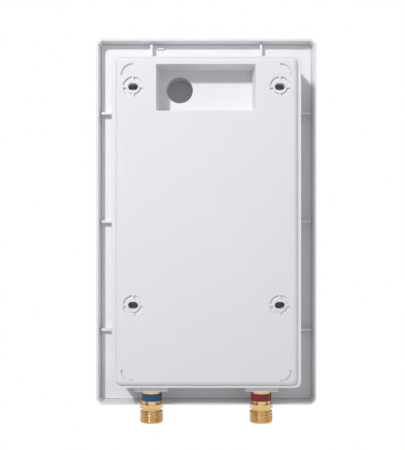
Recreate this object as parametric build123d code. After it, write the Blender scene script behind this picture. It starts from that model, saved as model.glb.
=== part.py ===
from build123d import *
import os
from math import atan2, cos, degrees, hypot, radians, sin, sqrt

# Compact electronic tankless water heater for a wall, with a white plastic casing.
# All lengths are millimetres. The origin is the centre of the four wall screw slots, on the
# wall plane. +Y points into the wall, +Z is up and +X is the cold water side.
# A depth is a distance in front of the wall, so a point at depth d has Y = -d.

# Front cover: a hood that closes the front and all four sides
cover_width = 205.0
cover_height = 341.0
cover_centre_z = -22.7
cover_rim_depth = 38.0
cover_front_depth = 108.0
cover_corner_cut = 4.3
cover_front_radius = 6.0
cover_rim_radius = 0.7
cover_rim_wall = 2.2
cover_wall = 3.5
cover_front_wall = 3.0
seat_post_radius = 4.5
seat_post_inset = 4.0
seat_gap = 0.25
peg_radius = 1.9
peg_length = 1.4

# Rear panel: a tray with a raised box that rests on the wall
trench_side = 17.6
trench_top = 22.4
trench_bottom = 21.4
box_corner_radius = 5.5
plateau_step = 4.8
plateau_edge_radius = 4.6
plateau_corner_radius = 5.2
ledge_side = 3.2
ledge_bottom = 2.4
ledge_top = 0.6
panel_wall = 2.5
trench_drop = 11.0
flange_thickness = 3.0
flange_gap = 0.3
peg_hole_gap = 0.35
peg_hole_depth = 1.8

# Cable pocket and cable hole in the raised box
pocket_cold_inset = 40.1
pocket_hot_inset = 41.1
pocket_top_inset = 7.85
pocket_height = 41.3
pocket_depth = 24.3
pocket_draft = 2.1
pocket_corner_radius = 0.6
cable_hole_radius = 12.0
cable_hole_inset = 20.45
cable_hole_rise = 0.7
cable_well_radius = 12.6
cable_well_wall = 1.6
cable_well_depth = 58.0
cable_well_end = 2.0
cable_window_width = 15.0
cable_window_depth = 41.0

# Wall screw slots, each in a tube, with a broken ring groove round it
slot_inset = 19.4
slot_spacing_z = 195.0
slot_length = 9.0
slot_width = 6.2
slot_tube_depth = 18.0
slot_tube_wall = 2.0
slot_cap_wall = 1.2
slot_cap_room = 3.2
ring_groove_inner = 6.1
ring_groove_outer = 9.1
ring_groove_depth = 1.8
ring_bridge = 1.8
ring_pad_radius = 11.0
ring_pad_depth = 4.4

# Quarter circle grooves in the corners of the raised box
arc_side_inset = 19.05
arc_top_inset = 17.6
arc_bottom_inset = 16.3
arc_radius = 9.8
arc_groove_width = 1.5
arc_groove_depth = 1.6
arc_hook = 2.2

# Ribs and a lug across the trench between the raised box and the hood
rib_thickness = 2.2
rib_height_at_box = 8.0
rib_height_at_rim = 6.0
rib_gap = 0.3
side_rib_inset = 47.4
side_rib_shift = 0.6
top_rib_inset = 33.65
lug_width = 6.6
lug_thickness = 1.4
lug_height = 2.0
lug_offset = 4.1
lug_rim_gap = 2.7

# Water fittings below the box: G 1/2 male thread at the standard spacing
fitting_spacing = 100.0
fitting_depth = 22.0
thread_radius = 10.4775
thread_pitch = 1.814
thread_height = 1.162
thread_turns = 6
thread_crest_flat = 0.34
thread_end_chamfer = 1.05
thread_end_drop = 0.95
fitting_groove_radius = 8.9
fitting_neck_radius = 9.0
hex_across_flats = 19.0
hex_corner_radius = 10.8
hex_turn = 12.0
hex_height = 3.9
fitting_groove_height = 1.9
neck_height = 3.1
ring_height = 6.7
ring_wall = 0.42
stub_height = 2.8
waterway_radius = 5.5
spigot_radius = 8.2
spigot_length = 9.0
spigot_groove_radius = 7.0
seal_section = 1.1
shoulder_radius = 11.0
shoulder_height = 2.2
shoulder_gap = 0.2

# Collars round the fittings on the bottom of the box
collar_width = 30.0
collar_drop = 4.5
collar_near_depth = 11.5
collar_far_depth = 34.0
collar_corner_radius = 1.5
fitting_hole_gap = 0.35
shoulder_above_wall = 2.4

# Socket bodies on the fittings: flow sensor on the cold side, plain adapter on the hot side
socket_radius = 13.0
socket_gap = 0.1
socket_lip = 3.0
chamber_radius = 9.8
chamber_height = 19.0
chamber_floor = 3.0
chamber_roof = 3.0
adapter_height = 8.0
neck_radius = 8.6
neck_length = 10.0
pipe_radius = 6.0
pipe_bore = 5.0
pipe_socket_depth = 6.0
spoke_width = 1.6
spoke_height = 2.0
spoke_hub_radius = 2.6
clip_wall = 1.4
clip_angle = 240.0
clip_start_angle = -210.0
clip_gap = 0.3

# Turbine of the flow sensor
axle_radius = 1.0
turbine_running_gap = 0.05
turbine_hub_radius = 3.0
turbine_blade_radius = 9.2
turbine_blade_thickness = 1.2
turbine_blade_count = 6
turbine_blade_angle = 25.0
turbine_end_gap = 0.6
pickup_width = 12.0
pickup_height = 9.0
pickup_depth = 6.0
strainer_radius = 5.0
strainer_wall = 0.6
strainer_length = 12.0
strainer_rim_radius = 7.2
strainer_rim_height = 1.2
strainer_gap = 0.1
strainer_bore_radius = 6.1
strainer_bore_length = 19.3
strainer_slots = 8
strainer_slot_width = 1.2

# Heating vessel
vessel_shift = 5.0
vessel_back_depth = 28.0
vessel_front_gap = 3.0
vessel_pipe_gap = 27.0
vessel_wall = 1.5
vessel_low_z = -100.0
vessel_high_z = 48.0
vessel_dome = 10.0
vessel_flange_reach = 10.0
vessel_flange_thickness = 4.0
gasket_thickness = 1.5
head_thickness = 6.0
bolt_circle_reach = 5.4
bolt_count = 6
bolt_radius = 2.4
bolt_hole_gap = 0.3
bolt_head_flats = 8.0
bolt_head_height = 3.6
port_boss_radius = 8.6
port_boss_length = 6.0
port_seat = 1.5
inlet_port_z = -80.0
outlet_port_z = 30.0

# Heating elements in the vessel
element_count = 3
element_radius = 3.0
element_circle_inset = 0.25
element_low_z = -66.0
element_stub = 4.0
element_gap = 0.1
terminal_radius = 1.5
terminal_length = 9.0
element_nut_flats = 7.0
element_nut_height = 3.0
link_inset = 1.5
link_thickness = 1.2

# Cradles and straps that hold the vessel
cradle_z_places = (-50.0, 10.0)
cradle_thickness = 5.0
cradle_drop = 10.0
cradle_gap = 0.3
cradle_boss_reach = 8.0
cradle_boss_radius = 4.0
strap_width = 11.0
strap_thickness = 1.2
screw_shank_radius = 1.5
screw_pilot_gap = 0.15
screw_clear_gap = 0.3
screw_head_radius = 3.0
screw_head_height = 1.8
screw_recess_width = 0.8
screw_recess_depth = 0.9
screw_bite = 7.0
pilot_extra = 1.5

# Pipes between the sockets and the vessel
pipe_bend = 10.0
inlet_rise_z = -80.0
outlet_pipe_inset = 22.4
outlet_turn_z = -64.0
outlet_join_z = -86.0
outlet_bend = 12.0
pipe_end_gap = 0.1

# Cooling block with the power semiconductors, on the cold pipe
cooling_width = 30.0
cooling_bend_gap = 1.0
cooling_height = 28.0
cooling_gap = 0.15
triac_count = 3
triac_pitch = 9.5
triac_width = 7.6
triac_margin = 1.0
triac_height = 4.2
triac_leg_width = 0.9
triac_leg_length = 5.0
triac_leg_pitch = 2.4
triac_board_margin = 3.0
triac_board_height = 7.5
triac_board_thickness = 1.6
tab_places = (-12.0, -4.0, 4.0, 12.0)
board_tab_length = 4.0

# Thermal cut-out on the hot pipe
cutout_z = -14.0
cutout_width = 22.0
cutout_height = 28.0
cutout_thickness = 16.0
cutout_clip_height = 12.0
cutout_clip_wall = 1.3
cutout_clip_gap = 0.125
cutout_clip_rise = 0.1
reset_radius = 3.0
reset_gap = 0.35
reset_length = 9.0
reset_proud = 4.0
reset_travel = 2.0
reset_bore_depth = 8.0
tab_width = 4.8
tab_thickness = 0.8
tab_length = 7.0
tab_offset = 6.5

# Temperature sensors
sensor_hex_flats = 9.0
sensor_hex_height = 4.0
sensor_body_radius = 2.5
sensor_body_length = 8.0
sensor_probe_radius = 1.6
sensor_probe_length = 20.0
inlet_sensor_room = 10.5
inlet_sensor_offset = 6.0
inlet_sensor_gap = 0.25

# Terminal block and cable clamp
block_inset = 26.4
block_z = 38.0
block_width = 48.0
block_height = 28.0
block_near_depth = 12.0
block_thickness = 22.0
pole_count = 3
pole_pitch = 13.0
pole_screw_offset = 7.0
pole_screw_radius = 2.6
pole_well_radius = 3.0
pole_well_depth = 5.0
pole_entry_radius = 2.4
pole_entry_length = 9.0
pole_entry_depth = 20.0
block_boss_offset = 20.5
block_ear = 7.0
block_ear_thickness = 6.0
clamp_inset = 37.4
clamp_z = 66.5
clamp_half_span = 14.0
clamp_boss_radius = 4.0
clamp_boss_top = 14.0
clamp_bar_height = 8.0
clamp_bar_thickness = 4.0
clamp_bar_end = 5.0
clamp_bow = 1.5

# Control board, its carrier and the pillars under it
board_centre_z = -104.0
board_width = 96.0
board_height = 66.0
board_thickness = 1.6
carrier_front_room = 21.0
carrier_thickness = 2.0
carrier_margin = 4.0
carrier_rail = 10.0
carrier_corner_radius = 3.0
board_standoff = 3.0
board_screw_inset = 4.5
standoff_radius = 3.0
pillar_radius = 3.6
pillar_seat_depth = 10.0
pillar_boss_radius = 4.6
pillar_inset = 10.4
pillar_top_z = -62.0
pillar_low_spread = 25.0
pillar_low_z = -140.0
pillar_stud_radius = 1.5
pillar_stud_length = 5.0
ear_radius = 6.0
ear_width = 9.0
standoff_pad_radius = 4.5

# Parts on the board
display_width = 38.0
display_height = 17.0
display_thickness = 8.0
display_z = -100.0
switch_side = 6.0
switch_thickness = 3.5
switch_plunger_radius = 1.7
switch_plunger_length = 1.0
relay_width = 15.0
relay_height = 19.0
relay_thickness = 9.0
relay_x = 30.0
relay_z = -121.0
capacitor_radius = 4.0
capacitor_length = 9.0
capacitor_x_places = (-38.0, -27.0)
capacitor_z = -126.0
chip_width = 12.0
chip_thickness = 1.6
chip_x = -6.0
chip_z = -124.0
connector_width = 13.0
connector_height = 7.0
connector_thickness = 6.0
connector_x_places = (-10.0, 12.0)
connector_z = -77.0

# Window, buttons and cover screw in the hood
window_width = 44.0
window_height = 21.0
window_corner_radius = 2.5
window_sill = 2.5
window_thickness = 1.6
window_gap = 0.1
button_x = 35.0
button_z = -100.0
button_radius = 7.0
button_gap = 0.4
button_proud = 1.2
button_flange = 1.6
button_flange_thickness = 1.3
button_wall_gap = 0.3
button_stem_radius = 2.4
button_switch_gap = 0.75
button_travel = 0.5
button_edge_radius = 0.6
cover_screw_z = -181.0
screw_tube_radius = 5.4
screw_tube_bore = 3.7
screw_tube_gap = 1.0
screw_tube_web = 3.0
screw_tube_rib = 1.8
cover_boss_radius = 4.8
cover_boss_height = 4.0
cover_screw_radius = 1.6
cover_screw_gap = 0.35
cover_screw_head_radius = 3.3
cover_screw_head_height = 2.4
cover_screw_bite = 5.0
cap_radius = 5.6
cap_thickness = 1.2
cap_gap = 0.1
cap_plug_length = 4.0

# Wires inside the casing
wire_radius = 1.5
lead_radius = 0.9
wire_bend = 3.8
lead_bend = 2.4
live_run_z = -20.0
live_wire_inset = 7.9
live_top_z = 24.0
under_vessel_z = -112.0
neutral_low_z = 12.0
neutral_gap = 10.0
neutral_top_z = 80.4
earth_low_z = 4.0
riser_offsets = (4.0, 12.0, 4.0)
over_head_z_places = (76.5, 77.0, 80.4)
lead_crossing_z = -58.0
inlet_lead_rise = 6.75
hall_lead_gap = 7.0
lead_spread = 3.0
outlet_lead_rise = 2.6

# One overrun serves all cuts
overrun = 1.0

# Values that follow from the ones above
flange_depth = cover_rim_depth + trench_drop
flange_front = flange_depth + flange_thickness
cover_inner_width = cover_width - 2 * cover_wall
cover_inner_height = cover_height - 2 * cover_wall
cover_cavity_end = cover_front_depth - cover_front_wall
box_width = cover_width - 2 * trench_side
box_height = cover_height - trench_top - trench_bottom
box_centre_z = cover_centre_z + (trench_bottom - trench_top) / 2
box_half_room = box_width / 2 - panel_wall
plateau_width = box_width - 2 * ledge_side
plateau_height = box_height - ledge_bottom - ledge_top
plateau_centre_z = box_centre_z + (ledge_bottom - ledge_top) / 2
box_bottom_z = box_centre_z - box_height / 2
box_top_z = box_centre_z + box_height / 2
pocket_width = box_width - pocket_cold_inset - pocket_hot_inset
pocket_centre_x = (pocket_hot_inset - pocket_cold_inset) / 2
pocket_centre_z = box_top_z - pocket_top_inset - pocket_height / 2
cable_hole_x = pocket_centre_x + pocket_width / 2 - cable_hole_inset
cable_hole_z = pocket_centre_z + cable_hole_rise
slot_spacing_x = box_width - 2 * slot_inset
arc_spacing_x = box_width - 2 * arc_side_inset
arc_top_z = box_top_z - arc_top_inset
arc_bottom_z = box_bottom_z + arc_bottom_inset
side_rib_spacing = box_height / 2 - side_rib_inset
side_rib_centre_z = box_centre_z + side_rib_shift
top_rib_spacing = box_width - 2 * top_rib_inset
fitting_x_places = (fitting_spacing / 2, -fitting_spacing / 2)
collar_bottom_z = box_bottom_z - collar_drop
ring_top_z = collar_bottom_z - stub_height
ring_bottom_z = ring_top_z - ring_height
hex_top_z = ring_bottom_z - neck_height
hex_bottom_z = hex_top_z - hex_height
groove_bottom_z = hex_bottom_z - fitting_groove_height
shoulder_low_z = box_bottom_z + panel_wall + shoulder_above_wall
shoulder_top_z = shoulder_low_z + shoulder_height
spigot_top_z = shoulder_top_z + spigot_length
socket_low_z = shoulder_top_z + shoulder_gap
socket_inner_z = spigot_top_z + socket_gap
chamber_low_z = socket_inner_z + chamber_floor
chamber_top_z = chamber_low_z + chamber_height
sensor_top_z = chamber_top_z + chamber_roof
sensor_neck_z = sensor_top_z + neck_length
adapter_top_z = socket_inner_z + adapter_height
adapter_neck_z = adapter_top_z + neck_length
carrier_near_depth = cover_front_depth - carrier_front_room
vessel_depth_room = carrier_near_depth - vessel_front_gap - vessel_back_depth
vessel_depth = vessel_back_depth + vessel_depth_room / 2
outlet_drop_x = outlet_pipe_inset - box_half_room
vessel_side_room = fitting_spacing / 2 - outlet_drop_x - 2 * vessel_pipe_gap
vessel_radius = min(vessel_depth_room, vessel_side_room) / 2
vessel_x = (outlet_drop_x + fitting_spacing / 2) / 2 - vessel_shift
vessel_flange_radius = vessel_radius + vessel_flange_reach
bolt_circle_radius = vessel_radius + bolt_circle_reach
element_circle = (vessel_radius - vessel_wall) / 2 - element_circle_inset
element_leg_spacing = vessel_radius / 2
link_width = element_leg_spacing / 2 - link_inset
cradle_seat_depth = vessel_depth - cradle_drop
cradle_boss_offset = vessel_radius + cradle_boss_reach
cooling_depth = vessel_depth - fitting_depth - 2 * pipe_bend - 2 * cooling_bend_gap
triac_length = cooling_depth - 2 * triac_margin
inlet_sensor_x = vessel_x + vessel_radius + port_boss_length + inlet_sensor_offset
block_x = box_half_room - block_inset
clamp_x = box_half_room - clamp_inset
pillar_top_spread = box_half_room - pillar_inset
cover_boss_top = flange_front + cover_boss_height
screw_tube_end_depth = cover_boss_top + screw_tube_gap
live_side_x = live_wire_inset - box_half_room
neutral_depth = block_near_depth + block_thickness + neutral_gap
riser_depths = [vessel_depth + offset for offset in riser_offsets]
inlet_sensor_near = vessel_depth + pipe_radius + inlet_sensor_gap
inlet_sensor_probe = (carrier_near_depth - vessel_depth) / 2 - inlet_sensor_room
inlet_sensor_far = inlet_sensor_near + sensor_hex_height + inlet_sensor_probe
inlet_lead_depth = inlet_sensor_far + inlet_lead_rise
hall_lead_depth = carrier_near_depth - hall_lead_gap
head_low_z = vessel_high_z + vessel_flange_thickness + gasket_thickness
head_top_z = head_low_z + head_thickness
board_near = carrier_near_depth + carrier_thickness + board_standoff
board_front = board_near + board_thickness
window_near = cover_front_depth - window_thickness
switch_front = board_front + switch_thickness
cutout_near = vessel_depth + pipe_radius + cutout_clip_gap + cutout_clip_wall + cutout_clip_rise
cutout_front = cutout_near + cutout_thickness


def at(x, depth, z):
    """Point given by its distance in front of the wall."""
    return (x, -depth, z)


def slab(outline, near, far):
    """Outline drawn in X and Z, made solid from depth near to depth far."""
    return extrude(Plane.XZ.offset(near) * outline, amount=far - near)


def column(outline, low, high):
    """Outline drawn in X and Y, made solid from height low to height high."""
    return extrude(Plane.XY.offset(low) * outline, amount=high - low)


def rod(start, end, radius):
    """Round bar between two points."""
    direction = Vector(*end) - Vector(*start)
    return extrude(Plane(origin=start, z_dir=direction) * Circle(radius), amount=direction.length)


def stick(x, z, near, far, radius):
    """Round bar square to the wall."""
    return rod(at(x, near, z), at(x, far, z), radius)


def turned(profile, x, depth, arc=360.0, start=0.0):
    """Profile of (radius, height) points turned round an upright axis."""
    face = Plane.XZ * make_face(Polyline(*profile, close=True))
    return Pos(x, -depth, 0) * Rot(0, 0, start) * revolve(face, axis=Axis.Z, revolution_arc=arc)


def cut_rectangle(width, height, cut):
    """Rectangle with its corners cut off at 45 degrees."""
    return chamfer(Rectangle(width, height).vertices(), cut)


def inset_cut(wall):
    """Corner cut of the hood's outline after it is moved inwards by a wall."""
    return cover_corner_cut - wall * (2 - sqrt(2))


def bent_tube(points, bend, radius):
    """Round tube along straight runs joined by arcs."""
    path = FilletPolyline(*points, radius=bend)
    return sweep(Plane(origin=path @ 0, z_dir=path % 0) * Circle(radius), path=path)


def bar_between(start, end, width):
    """Flat strip outline between two points, square at its ends."""
    run_x = end[0] - start[0]
    run_y = end[1] - start[1]
    middle = Pos((start[0] + end[0]) / 2, (start[1] + end[1]) / 2)
    return middle * Rot(0, 0, degrees(atan2(run_y, run_x))) * Rectangle(hypot(run_x, run_y), width)


def group(shapes):
    """Several separate solids kept together as one node."""
    return Compound([solid for shape in shapes for solid in shape.solids()])


def pan_screw(x, z, seat, bite, shank=screw_shank_radius, head=screw_head_radius):
    """Cross recessed screw square to the wall, its head in front of depth seat."""
    top = seat + screw_head_height
    body = stick(x, z, seat, top, head) + stick(x, z, seat - bite, seat + screw_recess_depth / 2, shank)
    for width, height in ((head, screw_recess_width), (screw_recess_width, head)):
        body -= slab(Pos(x, z) * Rectangle(width, height), top - screw_recess_depth, top + overrun)
    return body


def pilot(x, z, seat, bite, shank=screw_shank_radius):
    """Hole that a screw of pan_screw bites in, open at depth seat."""
    return stick(x, z, seat - bite - pilot_extra, seat + overrun, shank + screw_pilot_gap)


# Places shared by pieces that are screwed together
pillar_places = (
    (-pillar_top_spread, pillar_top_z),
    (pillar_top_spread, pillar_top_z),
    (-pillar_low_spread, pillar_low_z),
    (pillar_low_spread, pillar_low_z),
)
strap_places = [
    (vessel_x + side * cradle_boss_offset, z) for z in cradle_z_places for side in (-1, 1)
]
clamp_places = [(clamp_x + side * clamp_half_span, clamp_z) for side in (-1, 1)]
block_places = [(block_x + side * block_boss_offset, block_z) for side in (-1, 1)]
slot_places = [
    (side * slot_spacing_x / 2, level * slot_spacing_z / 2) for side in (-1, 1) for level in (-1, 1)
]
seat_places = [
    (
        side * (cover_inner_width / 2 - seat_post_inset),
        cover_centre_z + level * (cover_inner_height / 2 - seat_post_inset),
    )
    for side in (-1, 1)
    for level in (-1, 1)
]
board_screw_places = [
    (
        side * (board_width / 2 - board_screw_inset),
        board_centre_z + level * (board_height / 2 - board_screw_inset),
    )
    for side in (-1, 1)
    for level in (-1, 1)
]


# Rear panel

def panel_shell():
    """Raised box with its rounded edge, hollow from the front, and the flange round it."""
    plateau_outline = Pos(0, plateau_centre_z) * RectangleRounded(
        plateau_width, plateau_height, plateau_corner_radius
    )
    plateau = slab(plateau_outline, 0, plateau_step + panel_wall)
    plateau = fillet(plateau.faces().sort_by(Axis.Y)[-1].edges(), plateau_edge_radius)
    box_outline = Pos(0, box_centre_z) * RectangleRounded(box_width, box_height, box_corner_radius)
    shell = plateau + slab(box_outline, plateau_step, flange_front)
    flange_outline = Pos(0, cover_centre_z) * cut_rectangle(
        cover_inner_width - 2 * flange_gap,
        cover_inner_height - 2 * flange_gap,
        inset_cut(cover_wall + flange_gap),
    )
    shell += slab(flange_outline, flange_depth, flange_front)
    shallow = Pos(0, plateau_centre_z) * RectangleRounded(
        plateau_width - 2 * panel_wall,
        plateau_height - 2 * panel_wall,
        plateau_corner_radius - panel_wall,
    )
    deep = Pos(0, box_centre_z) * RectangleRounded(
        box_width - 2 * panel_wall, box_height - 2 * panel_wall, box_corner_radius - panel_wall
    )
    shell -= slab(shallow, panel_wall, flange_front)
    return shell - slab(deep, plateau_step + panel_wall, flange_front + overrun)


def pocket_outline(grow):
    """Outline of the cable pocket, larger or smaller by grow on each side."""
    return Pos(pocket_centre_x, pocket_centre_z) * RectangleRounded(
        pocket_width + 2 * grow, pocket_height + 2 * grow, pocket_corner_radius + max(grow, 0)
    )


def add_pocket(panel):
    """Drafted pocket, and behind its hole a closed well with a window that lets the cable down."""
    panel += slab(pocket_outline(panel_wall), 0, pocket_depth + panel_wall)
    hollow = loft(
        [
            Plane.XZ.offset(0) * pocket_outline(0),
            Plane.XZ.offset(pocket_depth) * pocket_outline(-pocket_draft),
        ],
        ruled=True,
    )
    floor = pocket_depth + panel_wall
    far = cable_well_depth + cable_well_end
    well = stick(cable_hole_x, cable_hole_z, floor, far, cable_well_radius + cable_well_wall)
    well -= stick(cable_hole_x, cable_hole_z, floor, cable_well_depth, cable_well_radius)
    reach = cable_well_radius + cable_well_wall + overrun
    window = Pos(cable_hole_x, cable_hole_z - reach / 2) * Rectangle(cable_window_width, reach)
    well -= slab(window, floor, cable_window_depth)
    hole = stick(cable_hole_x, cable_hole_z, 0, floor + overrun, cable_hole_radius)
    return panel + well - hollow - hole


def add_wall_slots(panel):
    """Four slotted tubes for the wall screws, and the broken ring groove round each."""
    for x, z in slot_places:
        place = Pos(x, z)
        panel += slab(place * Circle(ring_pad_radius), panel_wall / 2, ring_pad_depth)
        tube = SlotOverall(slot_length + 2 * slot_tube_wall, slot_width + 2 * slot_tube_wall)
        panel += slab(place * tube, panel_wall / 2, slot_tube_depth)
        ring = Circle(ring_groove_outer) - Circle(ring_groove_inner)
        ring -= Rectangle(2 * ring_groove_outer, ring_bridge)
        ring -= Rectangle(ring_bridge, 2 * ring_groove_outer)
        panel -= slab(place * ring, 0, ring_groove_depth)
        panel -= slab(place * SlotOverall(slot_length, slot_width), 0, slot_tube_depth + overrun)
    return panel


def slot_caps():
    """Cups that close the four slotted tubes from inside and cover the heads of the wall screws."""
    outline = SlotOverall(slot_length + 2 * slot_tube_wall, slot_width + 2 * slot_tube_wall)
    narrower = 2 * (slot_tube_wall - slot_cap_wall)
    room = SlotOverall(slot_length + narrower, slot_width + narrower)
    far = slot_tube_depth + slot_cap_room
    caps = []
    for x, z in slot_places:
        cap = slab(Pos(x, z) * outline, slot_tube_depth, far + slot_cap_wall)
        caps.append(cap - slab(Pos(x, z) * room, slot_tube_depth - overrun, far))
    return group(caps)


def add_corner_arcs(panel):
    """Quarter circle grooves with short inward hooks, one in each corner."""
    for side in (-1, 1):
        for z, level in ((arc_top_z, 1), (arc_bottom_z, -1)):
            arc = Circle(arc_radius + arc_groove_width / 2) - Circle(arc_radius - arc_groove_width / 2)
            reach = arc_radius + arc_groove_width
            arc &= Pos(side * reach / 2, level * reach / 2) * Rectangle(reach, reach)
            middle = arc_radius + arc_groove_width / 2 - arc_hook / 2
            arc += Pos(side * middle, level * arc_groove_width / 2) * Rectangle(arc_hook, arc_groove_width)
            arc += Pos(side * arc_groove_width / 2, level * middle) * Rectangle(arc_groove_width, arc_hook)
            panel -= slab(Pos(side * arc_spacing_x / 2, z) * arc, 0, arc_groove_depth)
    return panel


def add_trench_ribs(panel):
    """Low ribs from the box to the hood, six at the sides and two at the top, and one lug."""
    rim_x = cover_inner_width / 2 - flange_gap - rib_gap
    rim_z = cover_centre_z + cover_inner_height / 2 - flange_gap - rib_gap
    root = panel_wall / 2
    for side in (-1, 1):
        profile = [
            at(side * (box_width / 2 - root), flange_depth + root, 0),
            at(side * (box_width / 2 - root), flange_depth - rib_height_at_box, 0),
            at(side * rim_x, flange_depth - rib_height_at_rim, 0),
            at(side * rim_x, flange_depth + root, 0),
        ]
        outline = make_face(Polyline(*profile, close=True))
        for level in (-1, 0, 1):
            z = side_rib_centre_z + level * side_rib_spacing
            rib = extrude(Pos(0, 0, z - rib_thickness / 2) * outline, amount=rib_thickness, dir=(0, 0, 1))
            panel += rib
    for side in (-1, 1):
        x = side * top_rib_spacing / 2 - rib_thickness / 2
        profile = [
            at(x, flange_depth + root, box_top_z - root),
            at(x, flange_depth - rib_height_at_box, box_top_z - root),
            at(x, flange_depth - rib_height_at_rim, rim_z),
            at(x, flange_depth + root, rim_z),
        ]
        panel += extrude(make_face(Polyline(*profile, close=True)), amount=rib_thickness, dir=(1, 0, 0))
    lug_x = top_rib_spacing / 2 - rib_thickness / 2 - lug_offset - lug_width / 2
    lug = Pos(lug_x, rim_z - lug_rim_gap - lug_thickness / 2) * Rectangle(lug_width, lug_thickness)
    return panel + slab(lug, flange_depth - lug_height, flange_depth + root)


def add_collars(panel):
    """Blocks on the bottom wall that the fittings come out of."""
    middle = (collar_near_depth + collar_far_depth) / 2
    span = collar_far_depth - collar_near_depth
    for x in fitting_x_places:
        outline = Pos(x, -middle) * RectangleRounded(collar_width, span, collar_corner_radius)
        panel += column(outline, collar_bottom_z, box_bottom_z + panel_wall)
        start = at(x, fitting_depth, collar_bottom_z - overrun)
        end = at(x, fitting_depth, box_bottom_z + panel_wall + overrun)
        panel -= rod(start, end, fitting_neck_radius + fitting_hole_gap)
    return panel


def add_bosses(panel):
    """Bosses and cradles inside the tray, with the holes of their screws."""
    root = panel_wall / 2
    for x, z in pillar_places:
        panel += stick(x, z, root, pillar_seat_depth, pillar_boss_radius)
        panel -= pilot(x, z, pillar_seat_depth, pillar_stud_length - pilot_extra, pillar_stud_radius)
    for x, z in clamp_places:
        panel += stick(x, z, root, clamp_boss_top, clamp_boss_radius)
        panel -= pilot(x, z, clamp_boss_top, screw_bite)
    for x, z in block_places:
        panel += stick(x, z, root, block_near_depth, clamp_boss_radius)
        panel -= pilot(x, z, block_near_depth, screw_bite)
    for z in cradle_z_places:
        width = 2 * cradle_boss_offset
        panel += slab(Pos(vessel_x, z) * Rectangle(width, cradle_thickness), root, cradle_seat_depth)
    for x, z in strap_places:
        panel += stick(x, z, root, cradle_seat_depth, cradle_boss_radius)
        panel -= pilot(x, z, cradle_seat_depth, screw_bite)
    low = at(vessel_x, vessel_depth, vessel_low_z)
    high = at(vessel_x, vessel_depth, vessel_high_z)
    panel -= rod(low, high, vessel_radius + cradle_gap)
    panel += stick(0, cover_screw_z, flange_depth + root, cover_boss_top, cover_boss_radius)
    hole = cover_screw_radius + cover_screw_gap
    panel -= stick(0, cover_screw_z, flange_depth + root, cover_boss_top + overrun, hole)
    for x, z in seat_places:
        near = flange_front - peg_hole_depth
        panel -= stick(x, z, near, flange_front + overrun, peg_radius + peg_hole_gap)
    return panel


def rear_panel():
    panel = panel_shell()
    for step in (add_pocket, add_wall_slots, add_corner_arcs, add_trench_ribs, add_collars, add_bosses):
        panel = step(panel)
    return panel


# Front cover with its window, cap and buttons

def front_cover():
    outline = Pos(0, cover_centre_z) * cut_rectangle(cover_width, cover_height, cover_corner_cut)
    hood = slab(outline, cover_rim_depth, cover_front_depth)
    hood = fillet(hood.faces().sort_by(Axis.Y)[0].edges(), cover_front_radius)
    hood = fillet(hood.faces().sort_by(Axis.Y)[-1].edges(), cover_rim_radius)
    inner = Pos(0, cover_centre_z) * cut_rectangle(
        cover_inner_width, cover_inner_height, inset_cut(cover_wall)
    )
    mouth = Pos(0, cover_centre_z) * cut_rectangle(
        cover_width - 2 * cover_rim_wall, cover_height - 2 * cover_rim_wall, inset_cut(cover_rim_wall)
    )
    cavity = slab(inner, flange_depth, cover_cavity_end)
    cavity = fillet(cavity.faces().sort_by(Axis.Y)[0].edges(), cover_front_radius - cover_front_wall)
    hood -= cavity
    sections = [Plane.XZ.offset(cover_rim_depth) * mouth, Plane.XZ.offset(flange_depth) * inner]
    hood -= loft(sections, ruled=True)
    root = cover_cavity_end + cover_front_wall / 2
    for x, z in seat_places:
        hood += stick(x, z, flange_front + seat_gap, root, seat_post_radius)
        hood += stick(x, z, flange_front + seat_gap - peg_length, flange_front + overrun, peg_radius)
    hood += stick(0, cover_screw_z, screw_tube_end_depth, root, screw_tube_radius)
    floor_z = cover_centre_z - cover_inner_height / 2 - cover_wall / 2
    rib = Pos(0, (floor_z + cover_screw_z) / 2) * Rectangle(screw_tube_rib, cover_screw_z - floor_z)
    hood += slab(rib, screw_tube_end_depth + screw_tube_web, root)
    web = screw_tube_end_depth + screw_tube_web
    hood -= stick(0, cover_screw_z, web, cover_front_depth + overrun, screw_tube_bore)
    shank = cover_screw_radius + screw_clear_gap
    hood -= stick(0, cover_screw_z, screw_tube_end_depth - overrun, web + overrun, shank)
    near = cover_front_depth - cap_thickness
    hood -= stick(0, cover_screw_z, near, cover_front_depth + overrun, cap_radius)
    sill = Rectangle(window_width - 2 * window_sill, window_height - 2 * window_sill)
    hood -= slab(Pos(0, display_z) * sill, cover_cavity_end - overrun, cover_front_depth + overrun)
    recess = RectangleRounded(window_width, window_height, window_corner_radius)
    hood -= slab(Pos(0, display_z) * recess, window_near, cover_front_depth + overrun)
    near = cover_cavity_end - overrun
    far = cover_front_depth + overrun
    for side in (-1, 1):
        hood -= stick(side * button_x, button_z, near, far, button_radius + button_gap)
    return hood


def display_window():
    outline = RectangleRounded(
        window_width - 2 * window_gap, window_height - 2 * window_gap, window_corner_radius - window_gap
    )
    return slab(Pos(0, display_z) * outline, window_near, cover_front_depth)


def push_button(side):
    """Round button with a retaining flange behind the hood and a stem towards its switch."""
    x = side * button_x
    flange_far = cover_cavity_end - button_wall_gap
    flange_near = flange_far - button_flange_thickness
    cap = stick(x, button_z, flange_near, cover_front_depth + button_proud, button_radius)
    cap = fillet(cap.faces().sort_by(Axis.Y)[0].edges(), button_edge_radius)
    cap += stick(x, button_z, flange_near, flange_far, button_radius + button_flange)
    stem_end = switch_front + switch_plunger_length + button_switch_gap
    return cap + stick(x, button_z, stem_end, flange_near + button_flange_thickness / 2, button_stem_radius)


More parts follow.
